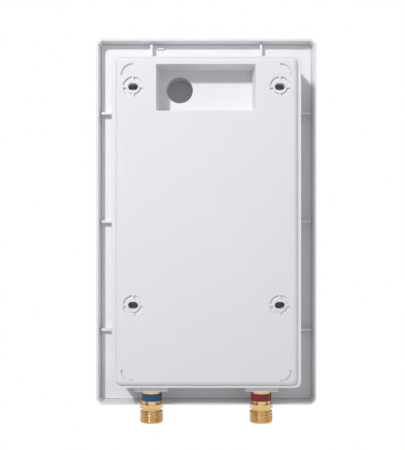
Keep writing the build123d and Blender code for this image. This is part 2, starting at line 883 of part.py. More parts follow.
def cover_screw():
    """Captive screw at the bottom of the tube in the hood."""
    web = screw_tube_end_depth + screw_tube_web
    top = web + cover_screw_head_height
    body = stick(0, cover_screw_z, web, top, cover_screw_head_radius)
    body += stick(0, cover_screw_z, cover_boss_top - cover_screw_bite, web + overrun, cover_screw_radius)
    for width, height in (
        (cover_screw_head_radius, screw_recess_width),
        (screw_recess_width, cover_screw_head_radius),
    ):
        recess = Pos(0, cover_screw_z) * Rectangle(width, height)
        body -= slab(recess, top - screw_recess_depth, top + overrun)
    return body


def screw_cap():
    near = cover_front_depth - cap_thickness
    cap = stick(0, cover_screw_z, near, cover_front_depth, cap_radius - cap_gap)
    far = near + cap_thickness / 2
    return cap + stick(0, cover_screw_z, near - cap_plug_length, far, screw_tube_bore - cap_gap)


# Water fittings

def thread_profile():
    """Points down one side of the thread: ridges at true pitch with small flats on their crests."""
    root = thread_radius - thread_height
    points = [(fitting_groove_radius, groove_bottom_z)]
    first = groove_bottom_z - thread_pitch / 2
    for turn in range(thread_turns):
        crest = first - turn * thread_pitch
        if turn > 0:
            points.append((root, crest + thread_pitch / 2))
        points.append((thread_radius, crest + thread_crest_flat / 2))
        points.append((thread_radius, crest - thread_crest_flat / 2))
    return points


def water_fitting(x, turn):
    """Brass fitting: spigot in the casing, shoulder, neck, hex and male thread."""
    thread = thread_profile()
    end = thread[-1][1] - thread_end_chamfer
    groove_mid = (shoulder_top_z + spigot_top_z) / 2
    seat = spigot_top_z - strainer_rim_height
    profile = [
        (waterway_radius, end),
        (waterway_radius, spigot_top_z - strainer_bore_length),
        (strainer_bore_radius, spigot_top_z - strainer_bore_length),
        (strainer_bore_radius, seat),
        (strainer_rim_radius + strainer_gap, seat),
        (strainer_rim_radius + strainer_gap, spigot_top_z),
        (spigot_radius, spigot_top_z),
        (spigot_radius, groove_mid + seal_section),
        (spigot_groove_radius, groove_mid + seal_section),
        (spigot_groove_radius, groove_mid - seal_section),
        (spigot_radius, groove_mid - seal_section),
        (spigot_radius, shoulder_top_z),
        (shoulder_radius, shoulder_top_z),
        (shoulder_radius, shoulder_low_z),
        (fitting_neck_radius, shoulder_low_z),
        (fitting_neck_radius, hex_bottom_z),
        (fitting_groove_radius, hex_bottom_z),
    ]
    profile += thread
    profile.append((thread_radius - thread_end_drop, end))
    body = turned(profile, x, fitting_depth)
    place = Pos(x, -fitting_depth) * Rot(0, 0, turn)
    hexagon = place * RegularPolygon(hex_across_flats / 2, 6, major_radius=False)
    collar = column(hexagon, hex_bottom_z, hex_top_z)
    collar &= column(Pos(x, -fitting_depth) * Circle(hex_corner_radius), hex_bottom_z, hex_top_z)
    collar -= column(Pos(x, -fitting_depth) * Circle(waterway_radius), hex_bottom_z, hex_top_z)
    return body + collar


def marker_ring(x):
    """Coloured sleeve on the neck of a fitting."""
    outer = fitting_neck_radius + ring_wall
    ring = Circle(outer) - Circle(fitting_neck_radius)
    return column(Pos(x, -fitting_depth) * ring, ring_bottom_z, ring_top_z)


def fitting_seal(x):
    """Round seal in the groove of the spigot."""
    middle = (shoulder_top_z + spigot_top_z) / 2
    radius = (spigot_radius + socket_gap - spigot_groove_radius) / 2
    place = Pos(x, -fitting_depth, middle)
    return place * Torus(spigot_groove_radius + radius, radius)


def retaining_clip(x):
    """Open channel that holds the fitting's shoulder against the socket."""
    neck = fitting_neck_radius + clip_gap
    groove = socket_radius - clip_wall + clip_gap
    inner = socket_radius + clip_gap
    outer = inner + clip_wall
    low = shoulder_low_z - clip_gap
    high = socket_low_z + socket_lip + clip_gap
    profile = [
        (neck, low - clip_wall),
        (outer, low - clip_wall),
        (outer, high + clip_wall),
        (groove, high + clip_wall),
        (groove, high),
        (inner, high),
        (inner, low),
        (neck, low),
    ]
    return turned(profile, x, fitting_depth, clip_angle, clip_start_angle)


def socket_bottom():
    """Lower end of both socket bodies, from its bore round to its outer wall."""
    return [
        (pipe_bore, socket_inner_z),
        (spigot_radius + socket_gap, socket_inner_z),
        (spigot_radius + socket_gap, socket_low_z),
        (socket_radius, socket_low_z),
        (socket_radius, socket_low_z + socket_lip),
        (socket_radius - clip_wall, socket_low_z + socket_lip),
        (socket_radius - clip_wall, socket_low_z + socket_lip + clip_wall + 2 * clip_gap),
        (socket_radius, socket_low_z + socket_lip + clip_wall + 2 * clip_gap),
    ]


def socket_top(top, neck):
    """Upper end of both socket bodies, from its outer wall to its bore."""
    return [
        (socket_radius, top),
        (neck_radius, top),
        (neck_radius, neck),
        (pipe_radius + socket_gap, neck),
        (pipe_radius + socket_gap, neck - pipe_socket_depth),
        (pipe_bore, neck - pipe_socket_depth),
    ]


def flow_sensor_body():
    profile = socket_bottom() + socket_top(sensor_top_z, sensor_neck_z)
    profile += [
        (pipe_bore, chamber_top_z),
        (chamber_radius, chamber_top_z),
        (chamber_radius, chamber_low_z),
        (pipe_bore, chamber_low_z),
    ]
    body = turned(profile, fitting_x_places[0], fitting_depth)
    for low in (chamber_low_z, chamber_top_z - spoke_height):
        spokes = Circle(spoke_hub_radius)
        for angle in (0, 60, 120):
            spokes += Rot(0, 0, angle) * Rectangle(2 * chamber_radius + spoke_width, spoke_width)
        spokes -= Circle(axle_radius)
        body += column(Pos(fitting_x_places[0], -fitting_depth) * spokes, low, low + spoke_height)
    middle = Pos(fitting_x_places[0], (chamber_low_z + chamber_top_z) / 2)
    seat = middle * Rectangle(pickup_width, pickup_height)
    return body + slab(seat, fitting_depth + chamber_radius + spoke_width, fitting_depth + socket_radius)


def turbine_axle():
    low = at(fitting_x_places[0], fitting_depth, chamber_low_z)
    high = at(fitting_x_places[0], fitting_depth, chamber_top_z)
    return rod(low, high, axle_radius)


def turbine_wheel():
    """Hub with slanted blades that the water turns."""
    low = chamber_low_z + spoke_height + turbine_end_gap
    high = chamber_top_z - spoke_height - turbine_end_gap
    wheel = column(Circle(turbine_hub_radius), low, high)
    reach = turbine_blade_radius - turbine_hub_radius / 2
    middle = (turbine_blade_radius + turbine_hub_radius / 2) / 2
    height = (high - low) * cos(radians(turbine_blade_angle)) - turbine_blade_thickness
    for blade in range(turbine_blade_count):
        plate = Rot(turbine_blade_angle, 0, 0) * Box(reach, turbine_blade_thickness, height)
        turn = Rot(0, 0, blade * 360 / turbine_blade_count)
        wheel += Pos(0, 0, (low + high) / 2) * turn * Pos(middle, 0, 0) * plate
    wheel &= column(Circle(turbine_blade_radius), low, high)
    wheel -= column(Circle(axle_radius + turbine_running_gap), low - overrun, high + overrun)
    return Pos(fitting_x_places[0], -fitting_depth, 0) * wheel


def hall_pickup():
    """Small block on the sensor body that reads the turbine."""
    middle = (chamber_low_z + chamber_top_z) / 2
    outline = Pos(fitting_x_places[0], middle) * Rectangle(pickup_width, pickup_height)
    near = fitting_depth + socket_radius
    return slab(outline, near, near + pickup_depth)


def inlet_strainer():
    """Slotted basket that hangs by its rim in the end of the cold fitting."""
    low = spigot_top_z - strainer_length
    seat = spigot_top_z - strainer_rim_height
    basket = column(Circle(strainer_radius), low, spigot_top_z)
    basket += column(Circle(strainer_rim_radius), seat, spigot_top_z)
    inner = Circle(strainer_radius - strainer_wall)
    basket -= column(inner, low + strainer_wall, spigot_top_z + overrun)
    for slot in range(strainer_slots // 2):
        outline = Rectangle(2 * strainer_radius + overrun, strainer_slot_width)
        cut = Rot(0, 0, slot * 360 / strainer_slots) * outline
        basket -= column(cut, low + 2 * strainer_wall, seat - strainer_wall)
    return Pos(fitting_x_places[0], -fitting_depth, 0) * basket


def outlet_adapter():
    profile = socket_bottom() + socket_top(adapter_top_z, adapter_neck_z)
    return turned(profile, fitting_x_places[1], fitting_depth)


def inlet_pipe():
    x = fitting_x_places[0]
    points = [
        at(x, fitting_depth, sensor_neck_z - pipe_socket_depth + pipe_end_gap),
        at(x, fitting_depth, inlet_rise_z),
        at(x, vessel_depth, inlet_rise_z),
        at(vessel_x + vessel_radius + port_seat, vessel_depth, inlet_port_z),
    ]
    return bent_tube(points, pipe_bend, pipe_radius) - bent_tube(points, pipe_bend, pipe_bore)


def outlet_pipe():
    x = fitting_x_places[1]
    bends = [pipe_bend, outlet_bend, outlet_bend]
    points = [
        at(vessel_x - vessel_radius - port_seat, vessel_depth, outlet_port_z),
        at(outlet_drop_x, vessel_depth, outlet_port_z),
        at(outlet_drop_x, vessel_depth, outlet_turn_z),
        at(x, fitting_depth, outlet_join_z),
        at(x, fitting_depth, adapter_neck_z - pipe_socket_depth + pipe_end_gap),
    ]
    return bent_tube(points, bends, pipe_radius) - bent_tube(points, bends, pipe_bore)


# Heating vessel

def around_vessel(radius, count, first):
    """Places on a circle round the vessel's axis, as (x, y)."""
    angles = [radians(first + 360 * step / count) for step in range(count)]
    return [(vessel_x + radius * cos(angle), -vessel_depth + radius * sin(angle)) for angle in angles]


def bolt_holes(low, high):
    """Round cuts for the bolts of the head."""
    radius = bolt_radius + bolt_hole_gap
    return [
        column(Pos(x, y) * Circle(radius), low - overrun, high + overrun)
        for x, y in around_vessel(bolt_circle_radius, bolt_count, 0)
    ]


def vessel_shell():
    """Drawn shell with a domed bottom, a bolting flange and a boss for each pipe."""
    top = vessel_high_z + vessel_flange_thickness
    inner = vessel_radius - vessel_wall
    shell = column(Circle(vessel_radius), vessel_low_z, top)
    shell = fillet(shell.faces().sort_by(Axis.Z)[0].edges(), vessel_dome)
    shell += column(Circle(vessel_flange_radius), vessel_high_z, top)
    for side, z in ((1, inlet_port_z), (-1, outlet_port_z)):
        start = (side * (vessel_radius - vessel_wall), 0, z)
        end = (side * (vessel_radius + port_boss_length), 0, z)
        shell += rod(start, end, port_boss_radius)
    hollow = column(Circle(inner), vessel_low_z + vessel_wall, top + overrun)
    shell -= fillet(hollow.faces().sort_by(Axis.Z)[0].edges(), vessel_dome - vessel_wall)
    for side, z in ((1, inlet_port_z), (-1, outlet_port_z)):
        end = (side * (vessel_radius + port_boss_length + overrun), 0, z)
        shell -= rod((side * (inner - 2 * overrun), 0, z), end, pipe_bore)
        shell -= rod((side * (vessel_radius + port_seat), 0, z), end, pipe_radius + pipe_end_gap)
    shell = Pos(vessel_x, -vessel_depth, 0) * shell
    for hole in bolt_holes(vessel_high_z, top):
        shell -= hole
    return shell


def vessel_gasket():
    low = vessel_high_z + vessel_flange_thickness
    ring = Circle(vessel_flange_radius) - Circle(vessel_radius)
    gasket = column(Pos(vessel_x, -vessel_depth) * ring, low, low + gasket_thickness)
    for hole in bolt_holes(low, low + gasket_thickness):
        gasket -= hole
    return gasket


def leg_places():
    """Places of the element legs in the head, two to each element."""
    places = []
    for step in range(element_count):
        angle = radians(90 + 360 * step / element_count)
        for side in (-1, 1):
            x = element_circle * cos(angle) - side * element_leg_spacing / 2 * sin(angle)
            y = element_circle * sin(angle) + side * element_leg_spacing / 2 * cos(angle)
            places.append((vessel_x + x, -vessel_depth + y))
    return places


def vessel_head():
    head = column(Pos(vessel_x, -vessel_depth) * Circle(vessel_flange_radius), head_low_z, head_top_z)
    for hole in bolt_holes(head_low_z, head_top_z):
        head -= hole
    for x, y in leg_places():
        cut = Pos(x, y) * Circle(element_radius + element_gap)
        head -= column(cut, head_low_z - overrun, head_top_z + overrun)
    probe = Pos(vessel_x, -vessel_depth) * Circle(sensor_probe_radius + element_gap)
    return head - column(probe, head_low_z - overrun, head_top_z + overrun)


def head_bolts():
    """Bolts with their nuts, through the head, the gasket and the flange."""
    low = vessel_high_z
    bolts = []
    for x, y in around_vessel(bolt_circle_radius, bolt_count, 0):
        hexagon = Pos(x, y) * RegularPolygon(bolt_head_flats / 2, 6, major_radius=False)
        bolt = column(hexagon, head_top_z, head_top_z + bolt_head_height)
        bolt += column(hexagon, low - bolt_head_height, low)
        bolts.append(bolt + column(Pos(x, y) * Circle(bolt_radius), low - 2 * bolt_head_height, head_top_z))
    return group(bolts)


def heating_elements():
    """Bent tubular heaters, with a threaded terminal and its nut on each leg."""
    places = leg_places()
    top = head_top_z + element_stub
    elements = []
    for first, second in zip(places[::2], places[1::2]):
        ends = [(*first, top), (*first, element_low_z), (*second, element_low_z), (*second, top)]
        element = bent_tube(ends, element_leg_spacing / 2 - element_gap, element_radius)
        for x, y in (first, second):
            pin_top = top + terminal_length
            element += column(Pos(x, y) * Circle(terminal_radius), top - overrun, pin_top)
            nut = Pos(x, y) * RegularPolygon(element_nut_flats / 2, 6, major_radius=False)
            element += column(nut, top, top + element_nut_height)
        elements.append(element)
    return group(elements)


link_low_z = head_top_z + element_stub + element_nut_height
link_top_z = link_low_z + link_thickness


def element_link():
    """Plate that joins one leg of each heating element."""
    corners = leg_places()[1::2]
    outline = Pos(*corners[0]) * Circle(link_width / 2)
    for first, second in zip(corners, corners[1:] + corners[:1]):
        outline += Pos(*second) * Circle(link_width / 2)
        outline += bar_between(first, second, link_width)
    plate = column(outline, link_low_z, link_top_z)
    for x, y in corners:
        hole = Pos(x, y) * Circle(terminal_radius + element_gap)
        plate -= column(hole, link_low_z - overrun, link_top_z + overrun)
    return plate


def link_nuts():
    """Nuts that press the link plate down."""
    nuts = []
    for x, y in leg_places()[1::2]:
        nut = Pos(x, y) * RegularPolygon(element_nut_flats / 2, 6, major_radius=False)
        nut -= Pos(x, y) * Circle(terminal_radius + element_gap)
        nuts.append(column(nut, link_top_z, link_top_z + element_nut_height))
    return group(nuts)


def vessel_straps():
    """Metal bands over the front of the vessel, with flat feet on the cradle bosses."""
    straps = []
    inner = vessel_radius + cradle_gap
    for z in cradle_z_places:
        low = z - strap_width / 2
        high = z + strap_width / 2
        place = Pos(vessel_x, -vessel_depth)
        band = column(place * Circle(inner + strap_thickness), low, high)
        span = 2 * (cradle_boss_offset + cradle_boss_radius)
        keep = Pos(vessel_x, z) * Rectangle(span, strap_width)
        band &= slab(keep, cradle_seat_depth, vessel_depth + inner + strap_thickness + overrun)
        band += slab(keep, cradle_seat_depth, cradle_seat_depth + strap_thickness)
        band -= column(place * Circle(inner), low - overrun, high + overrun)
        for x, place_z in strap_places:
            if place_z == z:
                radius = screw_shank_radius + screw_clear_gap
                near = cradle_seat_depth - overrun
                band -= stick(x, z, near, cradle_seat_depth + strap_thickness + overrun, radius)
        straps.append(band)
    return group(straps)


def strap_screws():
    seat = cradle_seat_depth + strap_thickness
    return group([pan_screw(x, z, seat, screw_bite + strap_thickness) for x, z in strap_places])


# Pieces on the pipes

cooling_middle_depth = (fitting_depth + vessel_depth) / 2
cooling_top_z = inlet_rise_z + cooling_height / 2


def cooling_block():
    outline = Pos(fitting_x_places[0], inlet_rise_z) * Rectangle(cooling_width, cooling_height)
    near = cooling_middle_depth - cooling_depth / 2
    block = slab(outline, near, near + cooling_depth)
    hole = stick(
        fitting_x_places[0],
        inlet_rise_z,
        near - overrun,
        near + cooling_depth + overrun,
        pipe_radius + cooling_gap,
    )
    return block - hole


triac_x_places = [
    fitting_x_places[0] + (step - (triac_count - 1) / 2) * triac_pitch for step in range(triac_count)
]


def triac_modules():
    """Power semiconductors on top of the cooling block, legs towards the front."""
    modules = []
    near = cooling_middle_depth - triac_length / 2
    far = near + triac_length
    for x in triac_x_places:
        body = slab(
            Pos(x, cooling_top_z + triac_height / 2) * Rectangle(triac_width, triac_height), near, far
        )
        for leg in (-1, 0, 1):
            place = Pos(x + leg * triac_leg_pitch, cooling_top_z + triac_height / 2)
            outline = place * Rectangle(triac_leg_width, triac_leg_width)
            body += slab(outline, far - overrun, far + triac_leg_length)
        modules.append(body)
    return group(modules)


triac_board_near = cooling_middle_depth + triac_length / 2 + triac_leg_length
triac_board_front = triac_board_near + triac_board_thickness
triac_board_z = cooling_top_z + triac_height / 2
board_tab_end = triac_board_front + board_tab_length


def triac_board():
    """Strip of board that the legs of the semiconductors are soldered to."""
    width = cooling_width - triac_board_margin + overrun
    outline = Pos(fitting_x_places[0], triac_board_z) * Rectangle(width, triac_board_height)
    return slab(outline, triac_board_near, triac_board_front)


def triac_tabs():
    """One supply tab and one tab for each heating element."""
    tabs = []
    for place in tab_places:
        outline = Pos(fitting_x_places[0] + place, triac_board_z) * Rectangle(tab_thickness, tab_width)
        tabs.append(slab(outline, triac_board_front, board_tab_end))
    return group(tabs)


def inlet_sensor():
    """Sensor on the front of the cold pipe, between the cooling block and the vessel."""
    x = inlet_sensor_x
    near = inlet_sensor_near
    hexagon = Pos(x, inlet_rise_z) * RegularPolygon(sensor_hex_flats / 2, 6, major_radius=False)
    body = slab(hexagon, near, near + sensor_hex_height)
    middle = near + sensor_hex_height / 2
    return body + stick(x, inlet_rise_z, middle, inlet_sensor_far, sensor_body_radius)


def outlet_sensor():
    """Sensor screwed into the middle of the head, its probe in the hot water."""
    place = Pos(vessel_x, -vessel_depth)
    hexagon = place * RegularPolygon(sensor_hex_flats / 2, 6, major_radius=False)
    top = head_top_z + sensor_hex_height
    body = column(hexagon, head_top_z, top)
    body += column(place * Circle(sensor_body_radius), top - overrun, top + sensor_body_length)
    low = head_low_z - sensor_probe_length
    return body + column(place * Circle(sensor_probe_radius), low, top - overrun)


cutout_middle = Pos(outlet_drop_x, cutout_z)


def thermal_cutout():
    """Safety cut-out block in front of the hot pipe, with a tab at each end."""
    body = slab(cutout_middle * Rectangle(cutout_width, cutout_height), cutout_near, cutout_front)
    bore = cutout_front - reset_bore_depth
    body -= stick(outlet_drop_x, cutout_z, bore, cutout_front + overrun, reset_radius + reset_gap)
    middle = (cutout_near + cutout_front) / 2
    for level in (-1, 1):
        z = cutout_z + level * (cutout_height / 2 + tab_length / 2 - overrun / 2)
        tab = Pos(outlet_drop_x - level * tab_offset, z) * Rectangle(tab_width, tab_length + overrun)
        body += slab(tab, middle - tab_thickness / 2, middle + tab_thickness / 2)
    return body


def cutout_clip():
    """Sheet clip round the hot pipe, with flat ears behind the cut-out."""
    low = cutout_z - cutout_clip_height / 2
    high = cutout_z + cutout_clip_height / 2
    place = Pos(outlet_drop_x, -vessel_depth)
    inner = pipe_radius + cutout_clip_gap
    clip = column(place * Circle(inner + cutout_clip_wall), low, high)
    ears = cutout_middle * Rectangle(cutout_width, cutout_clip_height)
    clip += slab(ears, cutout_near - cutout_clip_wall, cutout_near)
    return clip - column(place * Circle(inner), low - overrun, high + overrun)


def reset_button():
    far = cutout_front + reset_proud
    button = stick(outlet_drop_x, cutout_z, far - reset_length, far, reset_radius)
    return fillet(button.faces().sort_by(Axis.Y)[0].edges(), reset_radius / 4)


# Electrical connection

pole_x_places = [block_x + (step - (pole_count - 1) / 2) * pole_pitch for step in range(pole_count)]
block_front = block_near_depth + block_thickness


def terminal_block():
    """Moulded block with a screw well and a wire entry above and below for each pole."""
    body = slab(Pos(block_x, block_z) * Rectangle(block_width, block_height), block_near_depth, block_front)
    for side in (-1, 1):
        ear_x = block_x + side * (block_width - block_ear) / 2
        ear = Pos(ear_x, block_z) * Rectangle(block_ear, block_height)
        body -= slab(ear, block_near_depth + block_ear_thickness, block_front + overrun)
    far = block_near_depth + block_ear_thickness + overrun
    for x, z in block_places:
        body -= stick(x, z, block_near_depth - overrun, far, screw_shank_radius + screw_clear_gap)
    for x in pole_x_places:
        for level in (-1, 1):
            z = block_z + level * pole_screw_offset
            near = block_front - pole_well_depth
            body -= stick(x, z, near, block_front + overrun, pole_well_radius)
            edge = block_z + level * block_height / 2
            start = at(x, pole_entry_depth, edge - level * pole_entry_length)
            end = at(x, pole_entry_depth, edge + level * overrun)
            body -= rod(start, end, pole_entry_radius)
    return body


def terminal_screws():
    """Clamping screws at the bottom of the wells."""
    screws = []
    seat = block_front - pole_well_depth
    for x in pole_x_places:
        for level in (-1, 1):
            z = block_z + level * pole_screw_offset
            top = seat + screw_head_height
            screw = stick(x, z, seat, top, pole_screw_radius)
            slot = Pos(x, z) * Rectangle(2 * pole_screw_radius + overrun, screw_recess_width)
            screws.append(screw - slab(slot, top - screw_recess_depth, top + overrun))
    return group(screws)


def cable_clamp_bar():
    """Bar that presses the supply cable onto the tray, bowed in its middle."""
    width = 2 * (clamp_half_span + clamp_bar_end)
    near = clamp_boss_top
    outline = Pos(clamp_x, clamp_z) * RectangleRounded(width, clamp_bar_height, clamp_bar_height / 3)
    bar = slab(outline, near, near + clamp_bar_thickness)
    middle = Pos(clamp_x, clamp_z) * Rectangle(clamp_half_span, clamp_bar_height)
    bar += slab(middle, near - clamp_bow, near + clamp_bar_thickness)
    for x, z in clamp_places:
        radius = screw_shank_radius + screw_clear_gap
        bar -= stick(x, z, near - overrun, near + clamp_bar_thickness + overrun, radius)
    return bar


def tray_screws():
    """Screws that hold the terminal block and the cable clamp bar to the tray."""
    seat = block_near_depth + block_ear_thickness
    bite = screw_bite + block_ear_thickness
    screws = [pan_screw(x, z, seat, bite) for x, z in block_places]
    seat = clamp_boss_top + clamp_bar_thickness
    bite = screw_bite + clamp_bar_thickness
    screws += [pan_screw(x, z, seat, bite) for x, z in clamp_places]
    return group(screws)


# Control board and what holds it

def board_pillars():
    """Metal pillars between the tray and the carrier, with a stud at the tray end."""
    pillars = []
    for x, z in pillar_places:
        hexagon = Pos(x, z) * RegularPolygon(pillar_radius, 6, major_radius=True)
        pillar = slab(hexagon, pillar_seat_depth, carrier_near_depth)
        near = pillar_seat_depth - pillar_stud_length
        pillar += stick(x, z, near, pillar_seat_depth + overrun, pillar_stud_radius)
        bite = screw_bite + pilot_extra
        pillar -= stick(
            x,
            z,
            carrier_near_depth - bite,
            carrier_near_depth + overrun,
            screw_shank_radius + screw_pilot_gap,
        )
        pillars.append(pillar)
    return group(pillars)


def board_carrier():
    """Open frame behind the board, with an ear over each pillar."""
    width = board_width + 2 * carrier_margin
    height = board_height + 2 * carrier_margin
    place = Pos(0, board_centre_z)
    outline = place * RectangleRounded(width, height, carrier_corner_radius)
    outline -= place * Rectangle(width - 2 * carrier_rail, height - 2 * carrier_rail)
    for x, z in pillar_places:
        outline += Pos(x, z) * Circle(ear_radius)
    for side in (-1, 1):
        corner = (side * (width - carrier_rail) / 2, board_centre_z + (height - carrier_rail) / 2)
        outline += bar_between(corner, (side * pillar_top_spread, pillar_top_z), ear_width)
    for x, z in board_screw_places:
        outline += Pos(x, z) * Circle(standoff_pad_radius)
    far = carrier_near_depth + carrier_thickness
    carrier = slab(outline, carrier_near_depth, far)
    for x, z in board_screw_places:
        carrier += stick(x, z, carrier_near_depth, far + board_standoff - seat_gap, standoff_radius)
        radius = screw_shank_radius + screw_pilot_gap
        carrier -= stick(x, z, carrier_near_depth - overrun, far + board_standoff + overrun, radius)
    for x, z in pillar_places:
        radius = screw_shank_radius + screw_clear_gap
        carrier -= stick(x, z, carrier_near_depth - overrun, far + overrun, radius)
    return carrier


def carrier_screws():
    seat = carrier_near_depth + carrier_thickness
    return group([pan_screw(x, z, seat, screw_bite + carrier_thickness) for x, z in pillar_places])


def control_board():
    outline = RectangleRounded(board_width, board_height, carrier_corner_radius / 2)
    board = slab(Pos(0, board_centre_z) * outline, board_near, board_front)
    for x, z in board_screw_places:
        radius = screw_shank_radius + screw_clear_gap
        board -= stick(x, z, board_near - overrun, board_front + overrun, radius)
    return board


def board_screws():
    bite = board_thickness + board_standoff
    return group([pan_screw(x, z, board_front, bite) for x, z in board_screw_places])


def display_module():
    outline = Pos(0, display_z) * Rectangle(display_width, display_height)
    return slab(outline, board_front, board_front + display_thickness)


def tact_switches():
    switches = []
    for side in (-1, 1):
        x = side * button_x
        body = slab(Pos(x, button_z) * Rectangle(switch_side, switch_side), board_front, switch_front)
        tip = switch_front + switch_plunger_length
        switches.append(body + stick(x, button_z, switch_front - overrun, tip, switch_plunger_radius))
    return group(switches)


def relay():
    outline = Pos(relay_x, relay_z) * Rectangle(relay_width, relay_height)
    return slab(outline, board_front, board_front + relay_thickness)


def capacitors():
    far = board_front + capacitor_length
    cans = [stick(x, capacitor_z, board_front, far, capacitor_radius) for x in capacitor_x_places]
    return group([fillet(can.faces().sort_by(Axis.Y)[0].edges(), capacitor_radius / 8) for can in cans])


def control_chip():
    outline = Pos(chip_x, chip_z) * Rectangle(chip_width, chip_width)
    return slab(outline, board_front, board_front + chip_thickness)


def board_connectors():
    bodies = []
    for x in connector_x_places:
        outline = Pos(x, connector_z) * Rectangle(connector_width, connector_height)
        body = slab(outline, board_front, board_front + connector_thickness)
        hollow = Pos(x, connector_z + connector_height / 4) * Rectangle(
            connector_width - connector_height / 3, connector_height
        )
        near = board_front + connector_thickness / 4
        bodies.append(body - slab(hollow, near, board_front + connector_thickness * 3 / 4))
    return group(bodies)


# Wires, each along straight runs joined by arcs

entry_z = block_z - block_height / 2 + pole_entry_length - overrun
pin_top_z = head_top_z + element_stub + terminal_length
tab_depth = (cutout_near + cutout_front) / 2
cold_tab = (outlet_drop_x - tab_offset, cutout_z + cutout_height / 2 + tab_length)
hot_tab = (outlet_drop_x + tab_offset, cutout_z - cutout_height / 2 - tab_length)
connector_depth = board_front + connector_thickness / 2
connector_top_z = connector_z + connector_height / 2


def wire(points, radius=wire_radius, bend=wire_bend):
    """Wire through points given as (x, depth, z)."""
    return bent_tube([at(*point) for point in points], bend, radius)


def live_wires():
    """First pole to the cut-out, and from there, under the vessel, to the triac board."""
    pole_x = pole_x_places[0]
    tab_x = fitting_x_places[0] + tab_places[0]
    supply = [
        (pole_x, pole_entry_depth, entry_z),
        (pole_x, pole_entry_depth, live_run_z),
        (live_side_x, pole_entry_depth, live_run_z),
        (live_side_x, tab_depth, live_run_z),
        (live_side_x, tab_depth, live_top_z),
        (cold_tab[0], tab_depth, live_top_z),
        (cold_tab[0], tab_depth, cold_tab[1]),
    ]
    switched = [
        (hot_tab[0], tab_depth, hot_tab[1]),
        (hot_tab[0], tab_depth, under_vessel_z),
        (tab_x, tab_depth, under_vessel_z),
        (tab_x, tab_depth, triac_board_z),
        (tab_x, board_tab_end, triac_board_z),
    ]
    return group([wire(supply), wire(switched)])


def neutral_wire():
    """From the second pole, over the head, to the link plate."""
    x = pole_x_places[1]
    end_x, end_y = leg_places()[5]
    return wire(
        [
            (x, pole_entry_depth, entry_z),
            (x, pole_entry_depth, neutral_low_z),
            (x, neutral_depth, neutral_low_z),
            (x, neutral_depth, neutral_top_z),
            (end_x, -end_y, neutral_top_z),
            (end_x, -end_y, pin_top_z),
        ]
    )


def earth_wire():
    """From the third pole to the bolt of the vessel's flange."""
    x = pole_x_places[2]
    end_x, end_y = around_vessel(bolt_circle_radius, bolt_count, 0)[0]
    return wire(
        [
            (x, pole_entry_depth, entry_z),
            (x, pole_entry_depth, earth_low_z),
            (end_x, -end_y, earth_low_z),
            (end_x, -end_y, vessel_high_z - 2 * bolt_head_height),
        ]
    )


def element_wires():
    """From the triac board up the side and over the head, one to each heating element."""
    wires = []
    ends = leg_places()[0::2]
    for place, depth, over_z, end in zip(tab_places[1:], riser_depths, over_head_z_places, ends):
        x = fitting_x_places[0] + place
        points = [
            (x, board_tab_end, triac_board_z),
            (x, depth, triac_board_z),
            (x, depth, over_z),
            (end[0], -end[1], over_z),
            (end[0], -end[1], pin_top_z),
        ]
        wires.append(wire(points))
    return group(wires)


def sensor_leads():
    """Thin leads from the two temperature sensors and the flow pick-up to the board."""
    inlet_end_x = connector_x_places[1] - lead_spread
    inlet = [
        (inlet_sensor_x, inlet_sensor_far, inlet_rise_z),
        (inlet_sensor_x, inlet_lead_depth, inlet_rise_z),
        (inlet_sensor_x, inlet_lead_depth, lead_crossing_z),
        (inlet_end_x, connector_depth, lead_crossing_z),
        (inlet_end_x, connector_depth, connector_top_z),
    ]
    pickup_z = (chamber_low_z + chamber_top_z) / 2
    pickup_x = fitting_x_places[0]
    hall_end_x = connector_x_places[1] + lead_spread
    hall = [
        (pickup_x, fitting_depth + socket_radius + pickup_depth, pickup_z),
        (pickup_x, hall_lead_depth, pickup_z),
        (pickup_x, hall_lead_depth, lead_crossing_z),
        (hall_end_x, connector_depth, lead_crossing_z),
        (hall_end_x, connector_depth, connector_top_z),
    ]
    sensor_top = head_top_z + sensor_hex_height + sensor_body_length
    outlet_end_x = connector_x_places[0]
    outlet = [
        (vessel_x, vessel_depth, sensor_top),
        (vessel_x, vessel_depth, sensor_top + outlet_lead_rise),
        (outlet_end_x, connector_depth, sensor_top + outlet_lead_rise),
        (outlet_end_x, connector_depth, connector_top_z),
    ]
    return group([wire(points, lead_radius, lead_bend) for points in (inlet, hall, outlet)])


